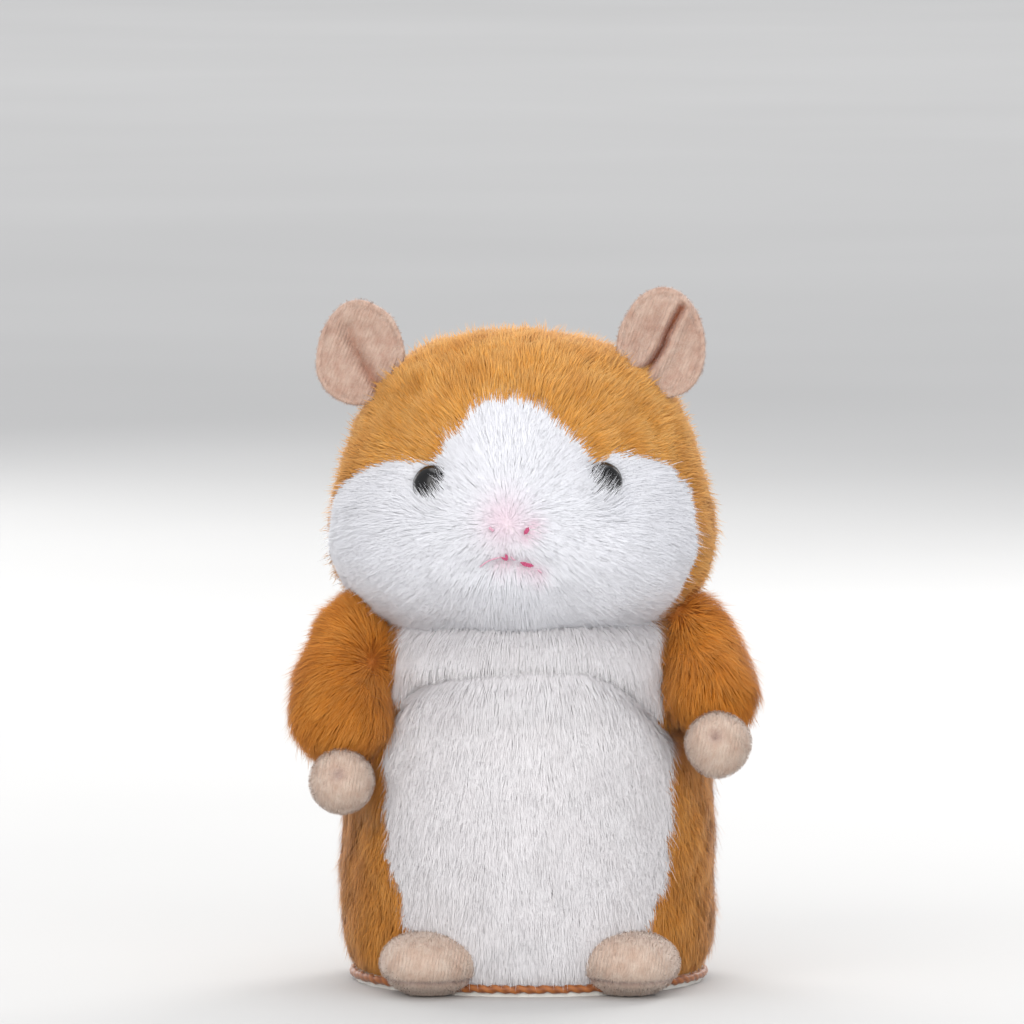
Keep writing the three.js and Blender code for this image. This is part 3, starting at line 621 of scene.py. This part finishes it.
def head_place(points):
    """Degrees round from the middle of the face, and height."""
    cos, sin = math.cos(HEAD_YAW), math.sin(HEAD_YAW)
    x, y = points[:, 0] - HEAD_X, points[:, 1]
    own_x, own_y = x * cos + y * sin, -x * sin + y * cos
    return np.degrees(np.arctan2(own_x, -own_y / HEAD_DEPTH)), points[:, 2]


def offset_profile(profile, depth):
    way = unit(np.gradient(profile, axis=0))
    return np.stack([profile[:, 0] - depth * way[:, 1], profile[:, 1] + depth * way[:, 0]], 1)


def head_form(depth, rows=170, columns=280):
    """The head at a depth under the outside of its coat."""
    profile = offset_profile(flowing(HEAD_SIDE, rows), depth)
    profile[:, 0] = np.maximum(profile[:, 0], 0.25)
    az = np.linspace(-180, 180, columns, endpoint=False)
    r, z = (np.repeat(profile[:, k], columns) for k in range(2))
    turn = np.tile(az, rows)
    rad = np.radians(turn)
    points = np.stack([r * np.sin(rad), -r * np.cos(rad) * HEAD_DEPTH, z], 1)
    faces = grid_faces(rows, columns)
    out = normals_of(points, faces)
    push = np.zeros(len(points))
    for az0, z0, wide, high, far in HEAD_SHAPING:
        away = (turn - az0) * math.pi / 180 * r / wide
        push += far * np.exp(-(away**2) - ((z - z0) / high) ** 2)
    push += 0.3 * ripple(points, 14, 3)
    points = turned_head(points + out * push[:, None])
    return points, normals_of(points, faces), faces


def split(points, faces, keep):
    """The faces picked by keep, with only their own points."""
    used = np.unique(faces[keep])
    renumber = np.full(len(points), -1)
    renumber[used] = np.arange(len(used))
    return points[used], renumber[faces[keep]]


def nose_tint(az, z):
    return np.exp(-(((az + 2.2) * 0.72 / 4.0) ** 2) - ((z - 102.8) / 4.4) ** 2) * 0.33


head_points, head_out, head_faces = head_form(FUR_DEPTH)
middle_az, middle_z = head_place(head_points[head_faces].mean(1))
is_face = inside(FACE_EDGE, middle_az, middle_z)
for name, keep, look, slot, node, fill in (
    ("head_face_skin", is_face, "white_backing", "white_plush", "head_plush_face", 0.85),
    ("head_back_skin", ~is_face, "orange_backing", "orange_plush", "head_plush_back", 0.85),
):
    points, faces = split(head_points, head_faces, keep)
    skin = mesh_of(name, points, faces)
    give(skin, "blush", nose_tint(*head_place(points)))
    lined(skin, 1.2)
    dressed(skin, LOOKS[look], slot)
    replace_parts(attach(skin, "upper"), node)


def surface_point(az, z, form=None):
    """The head's point nearest to a place on it, and the way out there."""
    points, out, _ = form or (head_points, head_out, None)
    own_az, own_z = head_place(points)
    k = np.argmin(((own_az - az) * 0.7) ** 2 + (own_z - z) ** 2)
    return points[k], out[k]


nose_at, _ = surface_point(NOSE_AZ, NOSE_Z)
coat_form = head_form(0)
eyes = {side: surface_point(*place, coat_form) for side, place in EYE_PLACES.items()}

roots, out = scatter(head_points, head_out, head_faces, FIBRES_PER_MM2["head"])
az, z = head_place(roots)
hidden = (z < 78.5) & (np.hypot(roots[:, 0] - HEAD_X, roots[:, 1]) < 29)
for at, _ in eyes.values():
    hidden |= np.linalg.norm(roots - at, axis=1) < EYE_CLEAR
for ear in EARS.values():  # and none grow in front of the ears
    edge = np.asarray(ear["edge"])
    shrunk = edge.mean(0) + (edge - edge.mean(0)) * 0.9
    plane = ear["y"] + EAR_LEAN * (z - edge[:, 1].mean())
    seen_z = z + (roots[:, 1] - SEEN_Y) * SEEN_RISE
    hidden |= inside(shrunk, roots[:, 0], seen_z) & (roots[:, 1] < plane + 0.5)
from_nose = roots - nose_at
away = np.linalg.norm(from_nose, axis=1)
back = np.clip((away - 55) / 40, 0, 1)[:, None]
lay = unit(from_nose - dot(from_nose, out) * out) * (1 - back) + np.array([0, 0, -1.0]) * back * 1.4
lay = lay + np.array([0, 0, -0.16])
length = np.interp(away, [0, 4, 9, 20, 45], [2.0, 2.6, 4.2, 5.6, 6.4])
length = length * np.interp(z, [77, 84], [1.25, 1])
lean = np.zeros(len(roots))
for side, (at, _) in eyes.items():  # the fibres below an eye on the nose's side climb over its edge
    gap = roots - at
    far = np.linalg.norm(gap, axis=1)
    near = np.interp(far, [5.5, 10], [1, 0])[:, None]
    upward = unit(np.array([-0.55 if side == "left" else 0.55, 0, 0.85]))
    under = np.clip(-(unit(gap) * upward).sum(1) * 1.6 - 0.35, 0, 1)[:, None]
    lay = unit(lay - dot(lay, out) * out) * (1 - near * under) + upward * near * under
    towards = np.clip(-(unit(gap) * unit(lay - dot(lay, out) * out)).sum(1), 0, 1)
    near, under = near[:, 0], under[:, 0]
    lean = lean + 48 * near * towards * under * rng.uniform(0.6, 1.1, len(roots))
    length = length * (1 - near * np.where(under > 0.3, -0.2, 0.45))
# The lowest fibres of the face hang over the chest.
chin = np.interp(z, [80, 86], [1, 0]) * np.interp(roots[:, 1], [-24, -14], [1, 0])
lean = lean + 26 * chin
length = length * (1 + 0.35 * chin)


def reaches(edge, place, roots, out, lay, length, ragged):
    """Whether each fibre's tip comes to lie inside an outline, with a slightly ragged edge."""
    flow = unit(lay - dot(lay, out) * out)
    az, z = place(roots + flow * (length * 0.5)[:, None])
    loose = ragged * rng.standard_normal((2, len(roots)))
    az = az + 1.5 * loose[0] + 2.0 * ragged * ripple(roots, 3, 21)
    return inside(edge, az, z + loose[1] + ragged * ripple(roots, 3, 22))


white = reaches(FACE_EDGE, head_place, roots, out, lay, length, 0.4)
hidden |= ~white & (rng.random(len(roots)) < 0.2)  # the orange coat is less dense

# Stitches on the face: name, places along it, radius of its strands, look, number of strands.
STITCHES = [
    ("nose_stitch_right", [(3.2, 100.1), (5.5, 102.1)], 0.2, "thread", 3),
    ("nose_stitch_left", [(-4.9, 100.9), (-6.4, 102.3)], 0.18, "pale_thread", 2),
    ("mouth_knot", [(-2.7, 94.8), (-1.5, 95.1), (-0.9, 95.9)], 0.22, "thread", 2),
    ("mouth_stitch_left", [(-3.0, 94.6), (-6, 93.9), (-8.9, 92.7)], 0.16, "pale_thread", 1),
    ("mouth_link", [(-0.6, 94.9), (1.9, 94.3)], 0.13, "pale_thread", 1),
    ("mouth_stitch_right", [(2.1, 94.2), (6.0, 93.0)], 0.2, "thread", 3),
    ("mouth_stitch_end", [(7.2, 92.6), (8.8, 91.9)], 0.14, "pale_thread", 1),
]
stitch_points = []
for _, places, _, look, _ in STITCHES:
    if look == "thread":
        ends = flowing([surface_point(*place, coat_form)[0] for place in places], 8)
        stitch_points.append(ends)
stitch_points = np.concatenate(stitch_points)
gaps = roots[:, None, ::2] - stitch_points[None, :, ::2]  # as seen from the front
near_stitch = np.linalg.norm(gaps, axis=2).min(1)
near_stitch = np.where(roots[:, 1] < -20, near_stitch, 99)
length = length * np.interp(near_stitch, [0.3, 1.6], [0.3, 1])
halo = np.exp(-((near_stitch / 1.5) ** 2)) * 0.45
blush = np.clip(halo + nose_tint(az, z), 0, 0.8)

for coat_name, chosen, look, slot, comb in (
    ("head_face_fur", white & ~hidden, "white_fur", "white_plush", CALM),
    ("head_crown_fur", ~white & ~hidden, "crown_fur", "orange_plush", {"lift": (34, -2)}),
):
    picked = np.flatnonzero(chosen)
    for name, part in in_pieces(coat_name, len(picked)):
        k = picked[part]
        piece = coat(name, roots[k], out[k], lay[k], length[k], extra=lean[k], **comb)
        if look == "white_fur":
            give(piece, "blush", np.repeat(blush[k], 5))
        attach(dressed(piece, LOOKS[look], slot), "upper")


# ---- eyes ----
def turned(profile, columns=72):
    """A profile of [radius, height] turned round Z, closed with a small cap at its last point."""
    profile = np.asarray(profile, float)
    turn = np.linspace(0, 2 * math.pi, columns, endpoint=False)
    r, z = (np.repeat(profile[:, k], columns) for k in range(2))
    around = np.tile(turn, len(profile))
    points = np.stack([r * np.cos(around), r * np.sin(around), z], 1)
    return points, grid_faces(len(profile), columns)


def aimed(points, at, out):
    turn = np.array(Vector((0, 0, 1)).rotation_difference(Vector(out)).to_matrix())
    return points @ turn.T + at


# Post and dome of an eye: [radius, height].
EYE_PROFILE = [
    (0.02, -7.4), (1.35, -7.4), (1.4, -1.2), (3.7, -1.2), (4.45, -0.9), (4.58, -0.45),
    (4.46, -0.12), (4.36, 0.25), (4.22, 0.8), (3.95, 1.5), (3.4, 2.2), (2.6, 2.82), (1.65, 3.2),
    (0.8, 3.36), (0.02, 3.4),
]
for side, (at, way) in eyes.items():
    points, faces = turned(flowing(EYE_PROFILE, 70))
    eye = mesh_of(f"eye_{side}_dome", aimed(points, at - way * EYE_SINK, way), faces)
    dressed(eye, LOOKS["eye"], "eye_gloss")
    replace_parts(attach(eye, "upper"), f"eye_{side}")


# ---- thread ----
def thread(name, path, r, turns, columns=12):
    """A two-ply thread laid along a path."""
    path = np.asarray(path, float)
    along = unit(np.gradient(path, axis=0))
    sideways = unit(np.cross(along, [0.13, 0.21, 0.97]))
    upward = np.cross(sideways, along)
    count = len(path)
    share = np.linspace(0, 1, count)[:, None]
    turn = np.linspace(0, 2 * math.pi, columns, endpoint=False)[None, :]
    ply = np.cos(2 * (turn - share * turns * math.pi))
    taper = np.clip(np.minimum(share, 1 - share) * count / 3, 0.12, 1) ** 0.5
    radius = r * (1 + 0.2 * ply) * taper
    ring = sideways[:, None] * np.cos(turn)[..., None] + upward[:, None] * np.sin(turn)[..., None]
    points = path[:, None] + ring * radius[..., None]
    piece = mesh_of(name, points.reshape(-1, 3), grid_faces(count, columns)[:, ::-1])
    give(piece, "ply", ((ply + 1) / 2).ravel())
    return piece


for name, places, r, look, strands in STITCHES:
    ends = [surface_point(*place, coat_form) for place in places]
    line = flowing([at for at, _ in ends], 26)
    way = ends[0][1]
    across = unit(np.cross(line[-1] - line[0], way))
    node = "nose_stitching" if name.startswith("nose") else "mouth_stitching"
    sink = np.sin(np.linspace(0, math.pi, 26))[:, None] * 0.5 - (0.9 if look == "thread" else 1.5)
    for k in range(strands):
        shift = (k - (strands - 1) / 2) * r * 1.25
        trim = 4 if strands == 3 and k != 1 else 0
        kept = slice(trim, 26 - trim)
        piece = thread(f"{name}_{k + 1}", (line + way * sink + across * shift)[kept], r, 5)
        dressed(piece, LOOKS[look], "pink_thread")
        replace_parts(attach(piece, "upper"), node)


# ---- torso ----
def fold_height(az):
    return np.interp(az, FOLD_AZ, FOLD_Z)


def torso_form(rows=150, columns=300):
    profile = flowing(TORSO_SIDE, rows)
    az = np.linspace(-180, 180, columns, endpoint=False)
    r, z = (np.repeat(profile[:, k], columns) for k in range(2))
    turn = np.tile(az, rows)
    rad = np.radians(turn)
    side = np.clip((z - 4) / 8, 0, 1) * np.clip((80 - z) / 4, 0, 1)
    above = z - fold_height(turn)
    strength = np.interp(np.abs(turn), [0, 22, 38, 60, 110, 180], [0.4, 0.55, 1, 1, 0.35, 0.25])
    push = -2.7 * np.exp(-((above / 1.7) ** 2)) * strength
    push += 1.2 * np.exp(-(((above + 6) / 5) ** 2)) * np.maximum(strength, 0.8)
    push += 0.5 * np.exp(-(((above - 4.2) / 3) ** 2)) * strength
    flat = np.stack([r * np.sin(rad), -r * np.cos(rad), z], 1)
    push += 0.35 * ripple(flat, 13, 9)
    r = r + push * side
    points = np.stack([r * np.sin(rad), TORSO_Y - r * np.cos(rad), z], 1)
    faces = grid_faces(rows, columns)
    return points, normals_of(points, faces), faces


def torso_place(points):
    return np.degrees(np.arctan2(points[:, 0], TORSO_Y - points[:, 1])), points[:, 2]


def across_fold(piece):
    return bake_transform(piece)


torso_points, torso_out, torso_faces = torso_form()
middle_az, middle_z = torso_place(torso_points[torso_faces].mean(1))
is_belly = inside(BELLY_EDGE, middle_az, middle_z)
for name, keep, look, slot, nodes in (
    ("torso_belly_skin", is_belly, "white_backing", "white_plush", ["chest_plush"]),
    ("torso_back_skin", ~is_belly, "orange_backing", "orange_plush", ["body_plush"]),
):
    skin = mesh_of(name, *split(torso_points, torso_faces, keep))
    lined(skin, 1.1)
    dressed(skin, LOOKS[look], slot)
    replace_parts(across_fold(skin), *nodes)


# ---- arms ----
# Middle line of each arm's fabric and its radius: [x, y, z, radius].
ARMS = {
    "left": [
        (-30, -7, 78, 4.5), (-36.4, -10, 77, 6.6), (-39.1, -14, 71, 7.8), (-40.1, -17, 64.5, 9),
        (-40, -19, 59, 9.4), (-39.9, -19.5, 53.5, 8.6),
    ],
    "right": [
        (29, -7, 79, 4.5), (34.3, -10, 77.5, 6.4), (37.2, -14, 72, 6.9), (39.3, -17.5, 66, 8.2),
        (40.2, -20, 60.5, 8.9),
    ],
}


def along_limb(path, rows, columns):
    """A closed tube of changing radius along a path, rounded at both ends."""
    line = flowing(path, rows)
    way = unit(np.gradient(line[:, :3], axis=0))
    ends = np.concatenate([np.sin(np.linspace(0.05, 1, 9) * math.pi / 2), np.ones(rows - 18)])
    cap = np.concatenate([ends, np.sin(np.linspace(1, 0.05, 9) * math.pi / 2)])
    reach = np.zeros(rows)
    reach[-9:] = (1 - np.cos(np.linspace(0, 1, 9) * math.pi / 2)) * line[-9:, 3] * 0.75
    sideways = unit(np.cross(way, [0, 1, 0.2]))
    upward = np.cross(sideways, way)
    turn = np.linspace(0, 2 * math.pi, columns, endpoint=False)
    cos, sin = np.cos(turn)[None, :, None], np.sin(turn)[None, :, None]
    ring = sideways[:, None] * cos + upward[:, None] * sin
    middle = line[:, :3] + way * reach[:, None]
    points = middle[:, None] + ring * (line[:, 3] * cap)[:, None, None]
    faces = grid_faces(rows, columns)
    points = points.reshape(-1, 3)
    out = normals_of(points, faces)
    if (dot(out, points - np.repeat(middle, columns, 0)).mean()) < 0:
        faces = faces[:, ::-1]
    return points, faces


def clear_of_torso(points, room):
    """Moves points that lie inside the torso out to its surface."""
    r = np.hypot(points[:, 0], points[:, 1] - TORSO_Y)
    side = np.asarray(TORSO_SIDE[2:])
    least = np.interp(points[:, 2], side[:, 1], side[:, 0]) + room
    near = (r < least) & (points[:, 2] < 70)
    grow = np.where(near, least / np.maximum(r, 1), 1)
    y = TORSO_Y + (points[:, 1] - TORSO_Y) * grow
    return np.stack([points[:, 0] * grow, y, points[:, 2]], 1)


arm_forms = {}
for side, path in ARMS.items():
    points, faces = along_limb(path, 60, 72)
    points = points + normals_of(points, faces) * (0.35 * ripple(points, 9, 31))[:, None]
    points = clear_of_torso(points, 0.4)
    arm_forms[side] = (points, normals_of(points, faces), faces)
    skin = mesh_of(f"arm_{side}_skin", points, faces)
    dressed(skin, LOOKS["orange_backing"], "orange_plush")
    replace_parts(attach(skin, "upper"), f"arm_{side}")


def depth_in_arms(points):
    """How far points lie inside the arms' middle lines' reach, in millimetres; negative outside."""
    best = np.full(len(points), -99.0)
    for path in ARMS.values():
        line = flowing(path, 24)
        gap = np.linalg.norm(points[:, None] - line[None, :, :3], axis=2)
        best = np.maximum(best, (line[None, :, 3] - gap).max(1))
    return best


roots, out = scatter(torso_points, torso_out, torso_faces, FIBRES_PER_MM2["torso"])
az, z = torso_place(roots)
under_head = (z > 78.6) & (np.hypot(roots[:, 0], roots[:, 1] - TORSO_Y) < 31)
seen = ~under_head & (depth_in_arms(roots) < 1.5) & (z > 3.2) & (out[:, 2] > -0.85)
outward = np.stack([np.sin(np.radians(az)) * 0.3, np.zeros(len(az)), np.full(len(az), -1.0)], 1)
length = np.interp(np.abs(z - fold_height(az)), [0, 2.5], [3.6, 5.4])
length = length * np.interp(z, [3, 10], [0.72, 1])
white = reaches(BELLY_EDGE, torso_place, roots, out, outward, length, 0.5)
seen &= white | (rng.random(len(roots)) < 0.7)
for coat_name, chosen, look, slot, comb in (
    ("belly_fur", white & seen, "chest_fur", "white_plush", {**CALM, "sway": 4, "guard": 0.03}),
    ("back_fur", ~white & seen, "back_fur", "orange_plush", {"gather": 0.12}),
):
    picked = np.flatnonzero(chosen)
    for name, part in in_pieces(coat_name, len(picked)):
        k = picked[part]
        piece = coat(name, roots[k], out[k], outward[k], length[k], **comb)
        across_fold(dressed(piece, LOOKS[look], slot))

# Where each arm's pile is combed away from, and how much it droops.
WHORLS = {"left": ((-29.6, -25, 71), 0.35), "right": ((27, -25, 82), 0.75)}
for side, (points, normals, faces) in arm_forms.items():
    roots, out = scatter(points, normals, faces, FIBRES_PER_MM2["arms"])
    inner = np.hypot(roots[:, 0], roots[:, 1] - TORSO_Y) < 36.5
    roots, out = roots[~inner], out[~inner]
    whorl, droop = WHORLS[side]
    lay = unit(roots - np.array(whorl)) + np.array([0, -0.05, -droop])
    length = np.interp(roots[:, 2], [48, 56, 80], [5.4, 6.8, 6.2])
    piece = coat(
        f"arm_{side}_fur", roots, out, lay, length, lift=(34, 0), stray=9, gather=0.14, even=0.4
    )
    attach(dressed(piece, LOOKS["arm_fur"], "orange_plush"), "upper")


# ---- fleece paws and ears ----
def ball(centre, radii, rows=60, columns=90):
    lat = np.linspace(-0.497, 0.497, rows) * math.pi
    lon = np.linspace(-math.pi, math.pi, columns, endpoint=False)
    ring, up = np.repeat(np.cos(lat), columns), np.repeat(np.sin(lat), columns)
    around = np.tile(lon, rows)
    way = np.stack([ring * np.sin(around), -ring * np.cos(around), up], 1)
    return way * radii + np.array(centre), way, grid_faces(rows, columns)


def nap(name, points, faces, fold_shade, look, body, per_mm2=11, tall=0.85):
    """Short loose fibres on fleece."""
    out = normals_of(points, faces)
    roots, ways = scatter(points, out, faces, per_mm2)
    near = nearest(roots, points)
    lay = np.stack([np.zeros(len(roots)), -np.ones(len(roots)) * 0.2, -np.ones(len(roots))], 1)
    lay = lay + rng.standard_normal(lay.shape) * 0.8
    piece = coat(name, roots, ways, lay, tall, width=0.08, lift=(58, 34), stray=25, gather=0)
    give(piece, "fold_shade", np.repeat(fold_shade[near], 5))
    dressed(piece, LOOKS[look], "beige_fleece")
    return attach(piece, body)


HAND_RADII = (6.9, 6.7, 6.8)
HANDS = {"left": (-40.3, -26.3, 45.6), "right": (40.6, -28, 54)}
for side, centre in HANDS.items():
    points, way, faces = ball(centre, HAND_RADII)
    dimple_at = np.array(centre) + unit(np.array([-0.12, -0.92, 0.36])) * 6.4
    gap = np.linalg.norm(points - dimple_at, axis=1)
    hollow = np.exp(-((gap / 1.5) ** 2))
    points = points - way * (hollow * 1.1)[:, None] + way * (0.2 * ripple(points, 5, 41))[:, None]
    points = clear_of_torso(points, 0.4)
    skin = mesh_of(f"hand_{side}_fleece", points, faces)
    # Painted shade in the dimple.
    give(skin, "fold_shade", hollow * 0.55)
    dressed(skin, LOOKS["paw_fleece"], "beige_fleece")
    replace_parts(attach(skin, "upper"), f"hand_{side}")
    nap(f"hand_{side}_nap", points, faces, hollow * 0.55, "paw_nap", "upper")

FOOT_RADII = (11.0, 14.5, 7.0)
FOOT_AT = (21, -28.2, 6.9)
FOOT_SPLAY = math.radians(15)
for side, sign in (("left", -1), ("right", 1)):
    centre = np.array(FOOT_AT) * [sign, 1, 1]
    points, way, faces = ball((0, 0, 0), FOOT_RADII, 70, 110)
    splay = FOOT_SPLAY * sign
    cos, sin = math.cos(splay), math.sin(splay)
    toe = np.clip(-points[:, 1] / FOOT_RADII[1], 0, 1)
    points[:, 2] *= 1 + 0.08 * toe
    points[:, 2] = np.where(points[:, 2] < 0, points[:, 2] * 0.97, points[:, 2])
    seam = np.exp(-(((points[:, 2] + 3.4) / 0.45) ** 2))
    points = points - way * (seam * 0.45)[:, None] + way * (0.22 * ripple(points, 6, 43))[:, None]
    x, y, z = points.T
    points = np.stack([x * cos - y * sin, x * sin + y * cos, z], 1) + centre
    points[:, 2] = np.where(points[:, 2] < 0.9, 0.25 + (points[:, 2] - 0.2) * 0.25, points[:, 2])
    points[:, 2] = np.maximum(points[:, 2], 0.15)
    skin = mesh_of(f"foot_{side}_fleece", points, faces)
    # Painted shade along the seam's groove.
    give(skin, "fold_shade", seam * 0.5)
    dressed(skin, LOOKS["paw_fleece"], "beige_fleece")
    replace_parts(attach(skin, "base"), f"foot_{side}")
    nap(f"foot_{side}_nap", points, faces, seam * 0.5, "paw_nap", "base", 8, 0.75)


def skin_front(x, z):
    """How far forward the head's fabric comes at a place seen from the front."""
    profile = offset_profile(flowing(HEAD_SIDE, 120), FUR_DEPTH)
    r = np.interp(z, profile[20:, 1], profile[20:, 0])
    return -HEAD_DEPTH * np.sqrt(np.maximum(r**2 - (x - HEAD_X) ** 2, 0))


def ear_form(edge, crease, y, deep, narrow, lip, shade, rings=46, columns=150):
    """Two layers of fleece sewn round the edge, leaning back, cupped to the front and creased.

    Where the head's fabric would come in front of the ear, the ear bends forward over it.
    """
    edge = np.asarray(edge, float)
    centre = edge.mean(0)
    closed = flowing(np.vstack([edge, edge[:1]]), columns + 1)[:-1]
    line = flowing(crease, 60)
    across = np.r_[np.linspace(0.01, 1, rings), np.linspace(1, 0.01, rings)[1:]]
    layers, crease_shades = [], []
    for k, s in enumerate(across):
        front = k < rings
        flat = centre + (closed - centre) * s
        gaps = np.linalg.norm(flat[:, None] - line[None], axis=2)
        gap, along = gaps.min(1), gaps.argmin(1) / 59
        hold = np.clip((1.06 - s) / 0.14, 0, 1)
        groove = deep * np.exp(-((gap / narrow) ** 1.6)) * hold * (0.5 + 0.5 * along)
        lips = -lip * np.exp(-(((gap - narrow * 2.1) / (narrow * 1.6)) ** 2)) * hold
        leaning = y + EAR_LEAN * (flat[:, 1] - centre[1])
        over = skin_front(flat[:, 0], flat[:, 1]) - 0.9
        rest = -np.logaddexp(-leaning / 1.2, -over / 1.2) * 1.2
        middle = rest + 2.0 * (1 - s**2) + groove * (1 if front else 0.7) + lips
        half = 1.3 * (1 - s**7) ** 0.5
        rim = 0.35 * math.exp(-(((s - 0.86) / 0.035) ** 2)) if front else 0
        deeper = middle + (-half + rim if front else half)
        own_z = flat[:, 1] + (SEEN_Y - deeper) * SEEN_RISE
        layers.append(np.stack([flat[:, 0], deeper, own_z], 1))
        # Painted shade along the crease, from shade[0] at its top to shade[1] at its foot.
        tint = shade[0] + (shade[1] - shade[0]) * along
        crease_shades.append(np.exp(-((gap / (narrow * 1.1)) ** 2)) * hold * tint * (1 if front else 0.25))
    points = np.concatenate(layers)
    points += 0.12 * ripple(points, 5, 47)[:, None] * [0, 1, 0]
    faces = grid_faces(len(across), columns)
    if normals_of(points, faces)[: columns * rings, 1].mean() > 0:
        faces = faces[:, ::-1]
    return points, faces, np.concatenate(crease_shades)


for side, shape in EARS.items():
    points, faces, fold_shade = ear_form(**shape)
    skin = mesh_of(f"ear_{side}_fleece", points, faces)
    give(skin, "fold_shade", fold_shade)
    dressed(skin, LOOKS["ear_fleece"], "beige_fleece")
    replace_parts(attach(skin, "upper"), f"ear_{side}")
    nap(f"ear_{side}_nap", points, faces, fold_shade, "ear_nap", "upper", 9, 0.7)


# ---- hem round the base ----
turn = np.linspace(0, 2 * math.pi, 241)
hem_z = 1.7 + 0.12 * np.sin(turn * 46)
hem_line = np.stack([38.1 * np.cos(turn), TORSO_Y + 37.3 * np.sin(turn), hem_z], 1)
hem = thread("base_hem", hem_line, 0.85, 150)
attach(dressed(hem, LOOKS["hem_thread"], "orange_plush"), "base")


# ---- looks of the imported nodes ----
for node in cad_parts.values():
    for place in node.material_slots:
        place.material = CAD_LOOKS[place.material.name.split(".")[0]]


# ---- stage, lights, camera ----
FLOOR_HALF = 14000
floor_points = np.array([[-1, -1, 0], [1, -1, 0], [1, 1, 0], [-1, 1, 0]], float) * FLOOR_HALF
floor = mesh_of("floor", floor_points, np.array([[0, 1, 2, 3]]), smooth=False)
floor_look = Look("floor", 0.75)
floor_look.paint(floor_look.ramp(floor_look.noise(3, 2), (0.3, "#bdbcba"), (0.7, "#c1c0be")))
floor.data.materials.append(floor_look.material)


def lamp(name, at, size, power, tint=(1, 1, 1), target=(0, 0, 0.09)):
    light = bpy.data.lights.new(name, "AREA")
    light.shape = "DISK"
    light.size = size
    light.energy = power
    light.color = tint
    holder = bpy.data.objects.new(name, light)
    holder.location = at
    holder.rotation_mode = "QUATERNION"
    holder.rotation_quaternion = (Vector(target) - Vector(at)).to_track_quat("-Z", "Y")
    bpy.context.scene.collection.objects.link(holder)


lamp("key", (-0.5, -1.15, 0.75), 1.4, 12, (1.0, 0.985, 0.965))
lamp("fill", (0.6, -1.3, 0.22), 1.3, 11, (0.97, 0.985, 1.0))
lamp("top", (0.05, 0.15, 1.15), 0.9, 4.5)
lamp("rim", (0.6, 0.9, 0.6), 0.6, 7)
lamp("back", (-0.7, 1.2, 0.5), 0.9, 8)
lamp("far_floor", (0, 4.6, 2.8), 6.0, 95, target=(0, 4.2, 0))
world = bpy.data.worlds.new("studio")
world.use_nodes = True
world.node_tree.nodes["Background"].inputs["Color"].default_value = (0.93, 0.95, 1.0, 1)
world.node_tree.nodes["Background"].inputs["Strength"].default_value = 0.62
bpy.context.scene.world = world
bpy.context.scene.view_settings.view_transform = "Standard"

ELEVATION = math.radians(4.5)
DISTANCE = 2.7
target = Vector((-0.0037, 0, 0.1018))
camera = bpy.data.objects.new("camera", bpy.data.cameras.new("camera"))
camera.data.lens = 437.5
camera.data.sensor_width = 36
camera.data.clip_start, camera.data.clip_end = 0.1, 60
camera.location = target + DISTANCE * Vector((0, -math.cos(ELEVATION), math.sin(ELEVATION)))
camera.rotation_mode = "QUATERNION"
camera.rotation_quaternion = (target - camera.location).to_track_quat("-Z", "Y")
bpy.context.scene.collection.objects.link(camera)
bpy.context.scene.camera = camera
